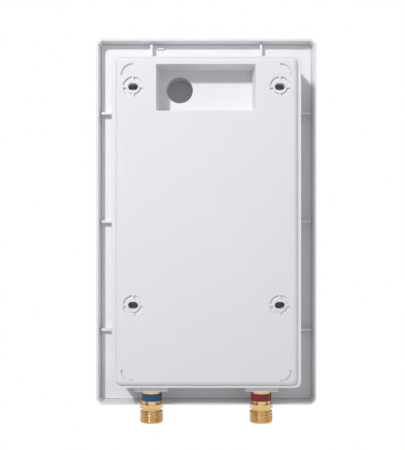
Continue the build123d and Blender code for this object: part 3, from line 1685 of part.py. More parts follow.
nodes = {
    "rear_panel": rear_panel,
    "slot_caps": slot_caps,
    "front_cover": front_cover,
    "display_window": display_window,
    "button_up": lambda: push_button(-1),
    "button_down": lambda: push_button(1),
    "cover_screw": cover_screw,
    "screw_cap": screw_cap,
    "inlet_fitting": lambda: water_fitting(fitting_x_places[0], hex_turn),
    "outlet_fitting": lambda: water_fitting(fitting_x_places[1], -hex_turn),
    "inlet_ring": lambda: marker_ring(fitting_x_places[0]),
    "outlet_ring": lambda: marker_ring(fitting_x_places[1]),
    "fitting_seals": lambda: group([fitting_seal(x) for x in fitting_x_places]),
    "fitting_clips": lambda: group([retaining_clip(x) for x in fitting_x_places]),
    "inlet_strainer": inlet_strainer,
    "flow_sensor_body": flow_sensor_body,
    "turbine_axle": turbine_axle,
    "turbine_wheel": turbine_wheel,
    "hall_pickup": hall_pickup,
    "outlet_adapter": outlet_adapter,
    "inlet_pipe": inlet_pipe,
    "outlet_pipe": outlet_pipe,
    "vessel_shell": vessel_shell,
    "vessel_gasket": vessel_gasket,
    "vessel_head": vessel_head,
    "head_bolts": head_bolts,
    "heating_elements": heating_elements,
    "element_link": element_link,
    "link_nuts": link_nuts,
    "vessel_straps": vessel_straps,
    "strap_screws": strap_screws,
    "cooling_block": cooling_block,
    "triac_modules": triac_modules,
    "triac_board": triac_board,
    "triac_tabs": triac_tabs,
    "inlet_sensor": inlet_sensor,
    "outlet_sensor": outlet_sensor,
    "thermal_cutout": thermal_cutout,
    "cutout_clip": cutout_clip,
    "reset_button": reset_button,
    "terminal_block": terminal_block,
    "terminal_screws": terminal_screws,
    "tray_screws": tray_screws,
    "cable_clamp_bar": cable_clamp_bar,
    "board_pillars": board_pillars,
    "board_carrier": board_carrier,
    "carrier_screws": carrier_screws,
    "control_board": control_board,
    "board_screws": board_screws,
    "display_module": display_module,
    "tact_switches": tact_switches,
    "relay": relay,
    "capacitors": capacitors,
    "control_chip": control_chip,
    "board_connectors": board_connectors,
    "live_wires": live_wires,
    "neutral_wire": neutral_wire,
    "earth_wire": earth_wire,
    "element_wires": element_wires,
    "sensor_leads": sensor_leads,
}

os.makedirs("parts", exist_ok=True)
for name, make in nodes.items():
    export_step(make(), f"parts/{name}.step")
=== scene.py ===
"""Looks of a compact wall-mounted tankless water heater, laid out as an add-on.

The CAD solids are the frame. The water fittings, the marks on the front and the small parts on
the board are surfaces worked out with numpy. Every finish is a procedural material.
"""

import math

import bpy
import numpy as np
from bpy.props import FloatProperty, FloatVectorProperty, IntProperty, PointerProperty
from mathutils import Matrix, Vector


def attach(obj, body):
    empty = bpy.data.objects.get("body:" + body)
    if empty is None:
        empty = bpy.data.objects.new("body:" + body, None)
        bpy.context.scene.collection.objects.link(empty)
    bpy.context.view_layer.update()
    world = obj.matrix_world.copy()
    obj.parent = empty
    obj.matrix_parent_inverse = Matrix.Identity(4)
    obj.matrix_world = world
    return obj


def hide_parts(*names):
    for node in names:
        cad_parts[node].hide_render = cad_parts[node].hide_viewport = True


bl_info = {
    "name": "Tankless Water Heater",
    "version": (1, 0, 0),
    "blender": (4, 5, 0),
    "location": "View3D > Sidebar > Heater",
    "description": "Finishes and detail pieces of a wall-mounted tankless water heater",
    "category": "Object",
}

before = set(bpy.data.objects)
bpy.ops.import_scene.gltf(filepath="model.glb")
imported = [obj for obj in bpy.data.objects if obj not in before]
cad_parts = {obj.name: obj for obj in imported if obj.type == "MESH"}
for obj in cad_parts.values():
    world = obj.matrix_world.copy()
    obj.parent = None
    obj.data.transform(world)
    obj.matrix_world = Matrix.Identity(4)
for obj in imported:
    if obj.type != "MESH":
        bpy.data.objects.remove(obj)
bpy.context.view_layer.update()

MM = 0.001


# Shader sums

class Value:
    """A shader output that can be used in Python sums; each sum adds one Math node."""

    def __init__(self, recipe, socket):
        self.recipe = recipe
        self.socket = socket

    def _sum(self, operation, *terms):
        node = self.recipe.node("ShaderNodeMath", {"operation": operation}, dict(enumerate(terms)))
        return Value(self.recipe, node.outputs[0])

    def __add__(self, other):
        return self._sum("ADD", self, other)

    def __radd__(self, other):
        return self._sum("ADD", other, self)

    def __sub__(self, other):
        return self._sum("SUBTRACT", self, other)

    def __rsub__(self, other):
        return self._sum("SUBTRACT", other, self)

    def __mul__(self, other):
        return self._sum("MULTIPLY", self, other)

    def __rmul__(self, other):
        return self._sum("MULTIPLY", other, self)

    def __truediv__(self, other):
        return self._sum("DIVIDE", self, other)

    def __rtruediv__(self, other):
        return self._sum("DIVIDE", other, self)

    def __gt__(self, other):
        return self._sum("GREATER_THAN", self, other)

    def __lt__(self, other):
        return self._sum("LESS_THAN", self, other)

    def absolute(self):
        return self._sum("ABSOLUTE", self)

    def fraction(self):
        return self._sum("FRACT", self)

    def sine(self):
        return self._sum("SINE", self)

    def power(self, other):
        return self._sum("POWER", self, other)

    def turn_from(self, other):
        """Arc tangent of this value over the other one, over a full turn."""
        return self._sum("ARCTAN2", self, other)

    def bounded(self):
        node = self.recipe.node("ShaderNodeClamp", {}, {"Value": self})
        return Value(self.recipe, node.outputs[0])

    def spread(self, low, high):
        """Low where this value is 0, high where it is 1."""
        return (self * (high - low) + low).bounded()


class Recipe:
    """Nodes of a material or of the world, from first texture to output."""

    def __init__(self, owner):
        owner.use_nodes = True
        self.owner = owner
        self.tree = owner.node_tree
        self.tree.nodes.clear()

    def node(self, kind, settings, inputs):
        """One node: its settings first, then the values or links of its sockets."""
        node = self.tree.nodes.new(kind)
        for key, value in settings.items():
            if key == "stops":
                ramp = node.color_ramp
                while len(ramp.elements) < len(value):
                    ramp.elements.new(0.5)
                for element, (place, color) in zip(ramp.elements, value):
                    element.position = place
                    element.color = (*color, 1.0)
            else:
                setattr(node, key, value)
        for key, value in inputs.items():
            socket = node.inputs[key]
            if isinstance(value, Value):
                self.tree.links.new(value.socket, socket)
            elif hasattr(value, "is_output"):
                self.tree.links.new(value, socket)
            elif isinstance(value, (tuple, list)) and len(value) < len(socket.default_value):
                socket.default_value = (*value, 1.0)
            else:
                socket.default_value = value
        return node

    def rays(self):
        """Three values, each 1 for one kind of ray and else 0: camera, glossy, transmission."""
        path = self.node("ShaderNodeLightPath", {}, {})
        kinds = ("Is Camera Ray", "Is Glossy Ray", "Is Transmission Ray")
        return [Value(self, path.outputs[kind]) for kind in kinds]

    def parts(self, where):
        """X, Y and Z of a vector."""
        node = self.node("ShaderNodeSeparateXYZ", {}, {"Vector": where})
        return [Value(self, node.outputs[axis]) for axis in range(3)]

    def axes(self):
        """X, Y and Z of the object coordinates in millimetres."""
        where = self.node("ShaderNodeTexCoord", {}, {}).outputs["Object"]
        return [part * (1.0 / MM) for part in self.parts(where)]

    def place(self, stretch):
        """Object coordinates, stretched by a Mapping node."""
        where = self.node("ShaderNodeTexCoord", {}, {}).outputs["Object"]
        inputs = {"Vector": where, "Scale": stretch}
        return self.node("ShaderNodeMapping", {}, inputs).outputs["Vector"]

    def noise(self, size, detail=2.0, roughness=0.5, stretch=(1.0, 1.0, 1.0)):
        """Soft noise from 0 to 1 whose blots are about size millimetres wide."""
        inputs = {
            "Vector": self.place(stretch),
            "Scale": 1.0 / (size * MM),
            "Detail": detail,
            "Roughness": roughness,
        }
        return Value(self, self.node("ShaderNodeTexNoise", {}, inputs).outputs[0])

    def cells(self, size, stretch=(1.0, 1.0, 1.0)):
        """Distance to the middle of the nearest cell, in cells about size millimetres wide."""
        inputs = {"Vector": self.place(stretch), "Scale": 1.0 / (size * MM)}
        return Value(self, self.node("ShaderNodeTexVoronoi", {}, inputs).outputs["Distance"])

    def blend(self, share, first, second):
        """Colour between first, where the share is 0, and second, where it is 1."""
        inputs = {0: share, 6: first, 7: second}
        return self.node("ShaderNodeMix", {"data_type": "RGBA"}, inputs).outputs[2]

    def soft_edges(self, radius):
        """Normal that rounds the edges of a solid, radius in millimetres."""
        inputs = {"Radius": radius * MM}
        return self.node("ShaderNodeBevel", {"samples": 6}, inputs).outputs[0]

    def relief(self, height, depth, normal=None):
        """Normal from a height of 0 to 1, depth in millimetres."""
        inputs = {"Height": height, "Distance": depth * MM, "Strength": 1.0}
        if normal is not None:
            inputs["Normal"] = normal
        return self.node("ShaderNodeBump", {}, inputs).outputs[0]

    def surface(self, **inputs):
        """Closes the recipe with one Principled shader and returns the material."""
        named = {key.replace("_", " "): value for key, value in inputs.items()}
        shader = self.node("ShaderNodeBsdfPrincipled", {}, named)
        self.node("ShaderNodeOutputMaterial", {}, {"Surface": shader.outputs[0]})
        return self.owner


def new_finish(name):
    """Empty recipe of a new material."""
    return Recipe(bpy.data.materials.new(name))


# Mesh helpers

def grid_faces(rows, columns, close_rows, close_columns):
    """Quads of a grid of rows by columns points, as an array of point numbers.

    Each quad joins a point, its right neighbour and the two below them; a closed direction joins
    its last line of points to its first.
    """
    row = np.arange(rows if close_rows else rows - 1)
    column = np.arange(columns if close_columns else columns - 1)
    row, column = np.meshgrid(row, column, indexing="ij")
    below = (row + 1) % rows
    right = (column + 1) % columns
    corners = [
        row * columns + column, row * columns + right,
        below * columns + right, below * columns + column,
    ]
    return np.stack(corners, axis=-1).reshape(-1, 4)


def make_piece(name, points, faces, body, material, sharp_degrees=35.0, smooth=True):
    """Mesh object from arrays of points (metres) and faces, riding on a CAD body."""
    mesh = bpy.data.meshes.new(name)
    mesh.from_pydata(np.asarray(points).reshape(-1, 3).tolist(), [], faces)
    mesh.polygons.foreach_set("use_smooth", np.full(len(mesh.polygons), smooth))
    if smooth:
        mesh.set_sharp_from_angle(angle=math.radians(sharp_degrees))
    mesh.materials.append(material)
    mesh.validate()
    piece = bpy.data.objects.new(name, mesh)
    bpy.context.scene.collection.objects.link(piece)
    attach(piece, body)
    return piece


def many_boxes(centres, size):
    """Points and faces of many boxes of one size: each corner is the centre plus or minus half
    of it."""
    half = np.asarray(size, float) / 2
    signs = np.array([[x, y, z] for x in (-1, 1) for y in (-1, 1) for z in (-1, 1)], float)
    points = (centres[:, None, :] + signs * half).reshape(-1, 3)
    sides = np.array(
        [[0, 1, 3, 2], [4, 6, 7, 5], [0, 4, 5, 1], [2, 3, 7, 6], [0, 2, 6, 4], [1, 5, 7, 3]]
    )
    first = np.arange(len(centres))[:, None, None] * len(signs)
    return points, (sides + first).reshape(-1, 4).tolist()


def finish_nodes(material, *names):
    """Gives CAD nodes a material."""
    for name in names:
        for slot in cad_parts[name].material_slots:
            slot.material = material


# Sizes and colours that a user may change

class HeaterCasing(bpy.types.PropertyGroup):
    tray_color: FloatVectorProperty(
        name="Tray colour", description="Colour of the rear tray", subtype="COLOR",
        default=(0.83, 0.83, 0.868),
    )
    hood_color: FloatVectorProperty(
        name="Hood colour", description="Colour of the hood", subtype="COLOR",
        default=(0.85, 0.85, 0.86),
    )
    grain: FloatProperty(
        name="Grain", description="Width of the moulded grain in millimetres",
        default=0.45, min=0.1, max=3.0,
    )
    grain_depth: FloatProperty(
        name="Grain depth", description="Depth of the moulded grain in millimetres",
        default=0.006, min=0.0, max=0.2,
    )
    edge: FloatProperty(
        name="Edge radius", description="Softness of moulded edges in millimetres",
        default=0.35, min=0.0, max=2.0,
    )


class HeaterFittings(bpy.types.PropertyGroup):
    spacing: FloatProperty(
        name="Spacing", description="Distance between the fittings", unit="LENGTH",
        default=100.0 * MM,
    )
    depth: FloatProperty(
        name="Depth", description="Distance of the fittings from the wall", unit="LENGTH",
        default=22.0 * MM,
    )
    thread_radius: FloatProperty(
        name="Thread radius", description="Outer radius of the male thread", unit="LENGTH",
        default=10.4775 * MM,
    )
    thread_height: FloatProperty(
        name="Thread height", description="Height of the thread's ridges", unit="LENGTH",
        default=1.162 * MM,
    )
    thread_pitch: FloatProperty(
        name="Thread pitch", description="Rise of one turn of the thread", unit="LENGTH",
        default=1.814 * MM,
    )
    brass_color: FloatVectorProperty(
        name="Brass", description="Colour of the bare brass", subtype="COLOR",
        default=(0.80, 0.56, 0.27),
    )
    cold_color: FloatVectorProperty(
        name="Cold mark", description="Colour of the ring on the cold side", subtype="COLOR",
        default=(0.012, 0.062, 0.172),
    )
    hot_color: FloatVectorProperty(
        name="Hot mark", description="Colour of the ring on the hot side", subtype="COLOR",
        default=(0.19, 0.012, 0.021),
    )
    columns: IntProperty(
        name="Columns", description="Points round each fitting", default=144, min=24, max=360
    )


class HeaterStage(bpy.types.PropertyGroup):
    key_strength: FloatProperty(
        name="Key light", description="Power of the key light in watts", default=1210.0
    )
    key_radius: FloatProperty(
        name="Key radius", description="Radius of the key light", unit="LENGTH",
        default=0.25, min=0.0,
    )
    key_cone: FloatProperty(
        name="Key cone", description="Angle of the key light's cone", subtype="ANGLE",
        default=math.radians(16.0),
    )
    key_aim: FloatVectorProperty(
        name="Key aim", description="Point the key light is aimed at, from the object's middle",
        unit="LENGTH", default=(0.27, 0.0, 0.36),
    )
    front_strength: FloatProperty(
        name="Front light", description="Power of the front light in watts", default=24.0
    )
    world_strength: FloatProperty(
        name="Ambient", description="Mean strength of the ambient light", default=0.50
    )
    world_slant: FloatProperty(
        name="Ambient slant", default=0.6,
        description="How much weaker the ambient light is from the key light's side",
    )
    side_strength: FloatProperty(
        name="Side ambient", default=0.14,
        description="Strength added to the ambient light from the sides",
    )
    floor_drop: FloatProperty(
        name="Floor drop", description="Depth of the floor below the origin", unit="LENGTH",
        default=0.62,
    )


# Plastics and metals

def moulded_plastic(name, color, roughness, grain, grain_depth, edge=0.3):
    """Plastic with a fine moulded grain, faint clouding and softened edges."""
    shade, brightest, cloud_size, fine_share, rough_step = 0.015, 0.97, 45.0, 0.35, 0.05
    recipe = new_finish(name)
    fine = recipe.noise(grain, 3.0, 0.6)
    broad = recipe.noise(cloud_size, 2.0, 0.5)
    clouds = (fine * fine_share + broad * (1.0 - fine_share)).bounded()
    dark = tuple(channel * (1.0 - shade * 2.0) for channel in color)
    light = tuple(min(channel * (1.0 + shade), brightest) for channel in color)
    paint = recipe.blend(clouds, dark, light)
    normal = recipe.relief(fine, grain_depth, recipe.soft_edges(edge))
    rough = clouds.spread(roughness - rough_step, roughness + rough_step)
    return recipe.surface(Base_Color=paint, Roughness=rough, Normal=normal, IOR=1.47)


def turned_metal(name, color, roughness, line, axis, edge=0.12, tarnish=0.10):
    """Bare metal turned on a lathe: fine lines round its axis, darker and redder blots, bright
    edges."""
    across_line, blot_size, line_depth, redder = 0.02, 6.0, 0.004, 0.98
    recipe = new_finish(name)
    stretch = tuple(1.0 if step == axis else across_line for step in range(3))
    lines = recipe.noise(line, 2.0, 0.6, stretch)
    blots = recipe.noise(blot_size, 3.0, 0.55)
    red, green, blue = (channel * (1.0 - tarnish) for channel in color)
    paint = recipe.blend((blots * 1.4 - 0.2).bounded(), (red, green * redder, blue * redder), color)
    normal = recipe.relief(lines, line_depth, recipe.soft_edges(edge))
    rough = (lines * 0.08 + blots * 0.06 + (roughness - 0.07)).bounded()
    return recipe.surface(Base_Color=paint, Metallic=1.0, Roughness=rough, Normal=normal)


def brushed_metal(name, color, roughness, along=2):
    """Sheet or drawn metal with long scratches along one axis."""
    along_scratch, scratch_size, scratch_depth, blot_size = 0.03, 0.25, 0.003, 14.0
    edge, tarnish, rough_step = 0.15, 0.14, 0.08
    recipe = new_finish(name)
    stretch = tuple(along_scratch if step == along else 1.0 for step in range(3))
    scratches = recipe.noise(scratch_size, 3.0, 0.7, stretch)
    blots = recipe.noise(blot_size, 2.0, 0.5)
    dark = tuple(channel * (1.0 - tarnish) for channel in color)
    paint = recipe.blend((blots * 0.6 + scratches * 0.4).bounded(), dark, color)
    normal = recipe.relief(scratches, scratch_depth, recipe.soft_edges(edge))
    rough = scratches.spread(roughness - rough_step, roughness + rough_step)
    return recipe.surface(Base_Color=paint, Metallic=1.0, Roughness=rough, Normal=normal)


def insulated_wire(name, color, patches=None):
    """Wire insulation with a faint sheen, fine extrusion lines and patches of a second colour."""
    recipe = new_finish(name)
    fine = recipe.noise(0.3, 2.0, 0.6)
    paint = recipe.blend(fine, tuple(channel * 0.8 for channel in color), color)
    if patches is not None:
        x, y, z = recipe.axes()
        wave = ((x + y + z * 0.9) * 0.55).sine()
        paint = recipe.blend((wave * 6.0).bounded(), paint, patches)
    normal = recipe.relief(fine, 0.01)
    return recipe.surface(Base_Color=paint, Roughness=fine.spread(0.34, 0.46), Normal=normal)


# Operators, one for each piece or group of like pieces

class HEATER_OT_casing(bpy.types.Operator):
    """Finishes of the tray, the hood, its window, buttons, cap and screw"""

    bl_idname = "heater.casing"
    bl_label = "Casing"

    def execute(self, context):
        size = context.scene.heater_casing
        grain, depth, edge = size.grain, size.grain_depth, size.edge
        tray = moulded_plastic("tray_white", tuple(size.tray_color), 0.5, grain, depth, edge)
        hood = moulded_plastic("hood_white", tuple(size.hood_color), 0.33, grain, depth / 2, edge)
        button = moulded_plastic("button_grey", (0.52, 0.53, 0.55), 0.4, grain, depth, 0.2)
        finish_nodes(tray, "rear_panel", "slot_caps")
        finish_nodes(hood, "front_cover", "screw_cap")
        finish_nodes(button, "button_up", "button_down")
        recipe = new_finish("smoked_window")
        haze = recipe.noise(3.0, 2.0)
        shade = recipe.blend(haze, (0.012, 0.012, 0.014), (0.022, 0.022, 0.026))
        rough = haze.spread(0.05, 0.09)
        glass = recipe.surface(
            Base_Color=shade, Roughness=rough, Coat_Weight=1.0, Coat_Roughness=0.04
        )
        finish_nodes(glass, "display_window")
        finish_nodes(brushed_metal("screw_zinc", (0.62, 0.63, 0.65), 0.34, 0), "cover_screw")
        return {"FINISHED"}


def hexagon_radius(theta, flat, turn):
    """Distance from the axis to a hexagon's side, for each angle: flat over the cosine of the
    angle to the nearest side's middle."""
    sixth = math.pi / 3
    return flat / np.cos(np.mod(theta - turn, sixth) - sixth / 2)


def fitting_points(size, x, turn):
    """Points of one water fitting: rows down its outside, up its bore, columns round its axis.

    The radius is a function of angle and height. On the thread it is the root radius plus the
    thread height times a trapezoid wave whose phase is the height over the pitch plus the angle
    over a full turn, and a cone cuts it back at the end. On the hex it is the hexagon's radius,
    with softened corners. Elsewhere it comes from the pairs of radius and height below, in
    millimetres.
    """
    theta = np.linspace(0.0, 2.0 * math.pi, size.columns, endpoint=False)[None, :]
    full = size.thread_radius
    root = full - size.thread_height

    upper = np.array(
        [
            (8.20, -155.7), (8.20, -159.1), (7.00, -159.1), (7.00, -161.3), (8.20, -161.3),
            (8.20, -164.7), (11.00, -164.7), (11.00, -166.9), (9.00, -166.9), (9.00, -175.0),
            (9.00, -183.0), (9.00, -188.60), (9.06, -188.80), (9.30, -188.90),
        ]
    ) * MM
    lower = np.array(
        [
            (9.30, -192.80), (9.02, -192.92), (8.90, -193.15), (8.90, -194.35), (9.05, -194.62),
            (9.70, -194.95), (10.22, -195.22), (10.42, -195.42), (10.4775, -195.62),
            (10.4775, -196.00), (10.38, -196.16), (9.95, -196.42),
        ]
    ) * MM
    end = np.array(
        [(9.30, -205.90), (9.10, -205.94), (6.05, -205.94), (5.70, -205.86), (5.50, -205.60)]
    ) * MM
    bore = np.array(
        [
            (5.50, -190.0), (5.50, -175.0), (6.10, -175.0), (6.10, -156.9), (7.30, -156.9),
            (7.30, -155.7),
        ]
    ) * MM

    hex_flat, hex_corner = 9.5 * MM, 10.80 * MM
    hex_z = np.array([-188.90, -188.93, -189.05, -192.65, -192.77, -192.80]) * MM
    hex_share = np.array([0.975, 0.988, 1.0, 1.0, 0.988, 0.975])
    hexagon = np.minimum(hexagon_radius(theta, hex_flat, turn), hex_corner) * hex_share[:, None]

    thread_start, run_in_length = -196.50 * MM, 0.9 * MM
    cone_start, cone_slope = -204.85 * MM, 0.9
    steepness, root_width = 1.5, 0.38
    thread_z = np.linspace(-196.62, -205.2, 92)[:, None] * MM
    travel = thread_start - thread_z
    phase = np.mod(travel / size.thread_pitch + theta / (2.0 * math.pi), 1.0)
    wave = np.clip((1.0 - np.abs(2.0 * phase - 1.0)) * steepness - root_width, 0.0, 1.0)
    wave = wave * wave * (3.0 - 2.0 * wave)
    thread = root + size.thread_height * wave * np.clip(travel / run_in_length, 0.0, 1.0)
    thread = np.minimum(thread, full - np.clip(cone_start - thread_z, 0.0, None) * cone_slope)
    tail_z = np.array([-205.45, -205.68])[:, None] * MM
    tail = np.minimum(thread[-1:], full - (cone_start - tail_z) * cone_slope)

    def rows(pairs):
        return np.repeat(pairs[:, :1], size.columns, axis=1)

    radius = np.concatenate(
        [rows(upper), hexagon, rows(lower), thread, tail, rows(end), rows(bore)]
    )
    height = np.concatenate(
        [upper[:, 1], hex_z, lower[:, 1], thread_z[:, 0], tail_z[:, 0], end[:, 1], bore[:, 1]]
    )
    height = np.repeat(height[:, None], size.columns, axis=1)
    across = x + radius * np.cos(theta)
    return np.stack([across, -size.depth + radius * np.sin(theta), height], axis=-1)


class HEATER_OT_fittings(bpy.types.Operator):
    """Brass water fittings with a real helical thread, and their coloured rings"""

    bl_idname = "heater.fittings"
    bl_label = "Water fittings"

    def execute(self, context):
        size = context.scene.heater_fittings
        brass = turned_metal("turned_brass", tuple(size.brass_color), 0.2, 0.12, 2, 0.12, 0.16)
        for side, turn, node in ((1, 12.0, "inlet_fitting"), (-1, -12.0, "outlet_fitting")):
            points = fitting_points(size, side * size.spacing / 2, math.radians(turn))
            faces = grid_faces(points.shape[0], points.shape[1], True, True).tolist()
            piece = make_piece(
                node + "_turned", points, faces, "chassis", brass, 28.0
            )
            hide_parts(node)
        for node, color in (("inlet_ring", size.cold_color), ("outlet_ring", size.hot_color)):
            recipe = new_finish(node + "_sleeve")
            fine = recipe.noise(0.5, 2.0)
            pale = tuple(channel * 1.12 + 0.002 for channel in color)
            paint = recipe.blend(fine, tuple(color), pale)
            normal = recipe.relief(fine, 0.006, recipe.soft_edges(0.15))
            sleeve = recipe.surface(
                Base_Color=paint, Roughness=fine.spread(0.16, 0.24), Normal=normal, IOR=1.38
            )
            finish_nodes(sleeve, node)
        return {"FINISHED"}


class HEATER_OT_plumbing(bpy.types.Operator):
    """Finishes of the pipes, sockets, flow sensor, strainer, seals and clips"""

    bl_idname = "heater.plumbing"
    bl_label = "Plumbing"

    def execute(self, context):
        copper = turned_metal("drawn_copper", (0.78, 0.42, 0.27), 0.26, 0.4, 2, 0.1, 0.25)
        finish_nodes(copper, "inlet_pipe", "outlet_pipe")
        socket = moulded_plastic("glass_filled_black", (0.022, 0.022, 0.024), 0.45, 0.35, 0.02)
        finish_nodes(socket, "flow_sensor_body", "outlet_adapter")
        pickup = moulded_plastic("pickup_black", (0.03, 0.03, 0.032), 0.5, 0.6, 0.02)
        finish_nodes(pickup, "hall_pickup")
        wheel = moulded_plastic("wheel_ivory", (0.68, 0.64, 0.52), 0.4, 0.5, 0.01)
        finish_nodes(wheel, "turbine_wheel")
        rubber = moulded_plastic("seal_rubber", (0.012, 0.012, 0.012), 0.6, 0.2, 0.02)
        finish_nodes(rubber, "fitting_seals")
        steel = brushed_metal("spring_steel", (0.58, 0.58, 0.59), 0.3, 2)
        finish_nodes(steel, "fitting_clips", "turbine_axle")
        recipe = new_finish("strainer_mesh")
        # The mesh's openings are painted near black: painted shade where the holes are, not real
        # openings.
        holes = (recipe.cells(0.9) > 0.32) * 1.0
        paint = recipe.blend(holes, (0.03, 0.03, 0.03), (0.6, 0.6, 0.6))
        normal = recipe.relief(holes, 0.1)
        mesh = recipe.surface(Base_Color=paint, Metallic=1.0, Roughness=0.35, Normal=normal)
        finish_nodes(mesh, "inlet_strainer")
        return {"FINISHED"}


class HEATER_OT_vessel(bpy.types.Operator):
    """Finishes of the heating vessel, its head, gasket, straps, bolts and elements"""

    bl_idname = "heater.vessel"
    bl_label = "Heating vessel"

    def execute(self, context):
        seam_x, seam_half, heat_half = -10.0, 1.6, 7.0
        recipe = new_finish("vessel_steel")
        x, _, z = recipe.axes()
        scratches = recipe.noise(0.3, 3.0, 0.7, (1.0, 1.0, 0.03))
        blots = recipe.noise(20.0, 2.0)
        paint = recipe.blend(blots, (0.48, 0.47, 0.46), (0.64, 0.64, 0.64))
        seam = (1.0 - ((x - seam_x) / seam_half).absolute()).bounded()
        bead = seam * ((z * 3.2).sine() * 0.3 + 0.7)
        heat = (1.0 - ((x - seam_x) / heat_half).absolute()).bounded() * 0.55
        paint = recipe.blend(heat, paint, (0.36, 0.27, 0.20))
        normal = recipe.relief(bead + scratches * 0.02, 0.35, recipe.soft_edges(0.3))
        rough = scratches.spread(0.24, 0.39)
        steel = recipe.surface(Base_Color=paint, Metallic=1.0, Roughness=rough, Normal=normal)
        finish_nodes(steel, "vessel_shell")
        head = turned_metal("head_steel", (0.60, 0.60, 0.61), 0.3, 0.5, 2)
        finish_nodes(head, "vessel_head")
        gasket = moulded_plastic("gasket_red", (0.33, 0.05, 0.035), 0.6, 0.6, 0.02)
        finish_nodes(gasket, "vessel_gasket")
        strap = brushed_metal("strap_steel", (0.60, 0.60, 0.61), 0.3, 0)
        finish_nodes(strap, "vessel_straps")
        zinc = brushed_metal("bolt_zinc", (0.64, 0.65, 0.67), 0.32, 2)
        finish_nodes(zinc, "head_bolts", "strap_screws", "link_nuts")
        recipe = new_finish("element_sheath_oxide")
        blots = recipe.noise(5.0, 3.0)
        paint = recipe.blend(blots, (0.20, 0.17, 0.15), (0.44, 0.41, 0.38))
        sheath = recipe.surface(Base_Color=paint, Metallic=1.0, Roughness=blots.spread(0.3, 0.5))
        finish_nodes(sheath, "heating_elements")
        finish_nodes(brushed_metal("link_tin", (0.70, 0.69, 0.66), 0.3, 0), "element_link")
        return {"FINISHED"}


class HEATER_OT_safety(bpy.types.Operator):
    """Finishes of the cooling block, the cut-out, its reset button and the sensors"""

    bl_idname = "heater.safety"
    bl_label = "Cut-out and sensors"

    def execute(self, context):
        aluminium = brushed_metal("milled_aluminium", (0.77, 0.78, 0.80), 0.34, 0)
        finish_nodes(aluminium, "cooling_block")
        black = moulded_plastic("phenolic_black", (0.028, 0.026, 0.025), 0.42, 0.4, 0.02)
        finish_nodes(black, "thermal_cutout", "triac_modules")
        finish_nodes(brushed_metal("clip_steel", (0.6, 0.6, 0.6), 0.3, 2), "cutout_clip")
        red = moulded_plastic("reset_red", (0.45, 0.02, 0.02), 0.35, 0.5, 0.01)
        finish_nodes(red, "reset_button")
        brass = turned_metal("sensor_brass", (0.78, 0.55, 0.27), 0.25, 0.15, 1)
        finish_nodes(brass, "inlet_sensor", "outlet_sensor")
        return {"FINISHED"}


class HEATER_OT_terminals(bpy.types.Operator):
    """Finishes of the terminal block, the cable clamp and their screws"""

    bl_idname = "heater.terminals"
    bl_label = "Terminals"

    def execute(self, context):
        grey = moulded_plastic("terminal_grey", (0.30, 0.31, 0.32), 0.45, 0.5, 0.02)
        finish_nodes(grey, "terminal_block", "cable_clamp_bar")
        zinc = brushed_metal("terminal_zinc", (0.66, 0.66, 0.64), 0.3, 0)
        finish_nodes(zinc, "terminal_screws", "tray_screws")
        return {"FINISHED"}


def solder_mask():
    """Green board lacquer with lighter copper tracks under it and tinned pads."""
    recipe = new_finish("solder_mask")
    lanes = recipe.noise(2.2, 0.0, 0.5, (1.0, 1.0, 0.25))
    cross = recipe.noise(2.6, 0.0, 0.5, (0.25, 1.0, 1.0))
    lanes = ((lanes * 9.0).fraction() > 0.6) * 0.6
    cross = ((cross * 8.0).fraction() > 0.7) * 0.4
    tracks = (lanes + cross).bounded()
    pads = recipe.cells(3.4, (1.0, 0.001, 1.0)) < 0.13
    paint = recipe.blend(tracks, (0.010, 0.075, 0.035), (0.022, 0.15, 0.065))
    paint = recipe.blend(pads, paint, (0.62, 0.60, 0.56))
    normal = recipe.relief(tracks * 0.5 + pads * 0.5, 0.05)
    return recipe.surface(Base_Color=paint, Metallic=pads * 1.0, Roughness=0.32, Normal=normal)


def capacitor_can():
    """Dark sleeve that leaves the can's bare top free."""
    top_y = -102.45
    recipe = new_finish("capacitor_can")
    bare = (recipe.axes()[1] < top_y) * 1.0
    paint = recipe.blend(bare, (0.02, 0.03, 0.09), (0.70, 0.70, 0.71))
    return recipe.surface(Base_Color=paint, Metallic=bare, Roughness=0.3)


def resistor_places(depth):
    """Centres of the small resistors, in millimetres: three rows across the board, each piece a
    little up or down at random, without those that would meet a larger part."""
    rows = np.array([-85.5, -113.2, -130.5])
    columns = np.linspace(-41.0, 40.0, 15)
    across = np.repeat(columns, rows.size)
    generator = np.random.default_rng(7)
    up = np.tile(rows, columns.size) + generator.choice([-1.2, 0.0, 1.2], across.size)
    # Low and high X, low and high Z of the places that larger parts take
    taken = (
        (-21.0, 21.0, -111.0, -89.0), (28.0, 42.0, -106.0, -94.0),
        (-42.0, -28.0, -106.0, -94.0), (20.5, 40.0, -132.5, -109.5),
        (-44.0, -21.0, -132.0, -120.0), (-14.0, 2.0, -132.0, -116.0),
    )
    free = np.ones(across.size, bool)
    for low_x, high_x, low_z, high_z in taken:
        free &= ~((across > low_x) & (across < high_x) & (up > low_z) & (up < high_z))
    return np.stack([across, np.full(across.size, depth), up], axis=-1)[free]


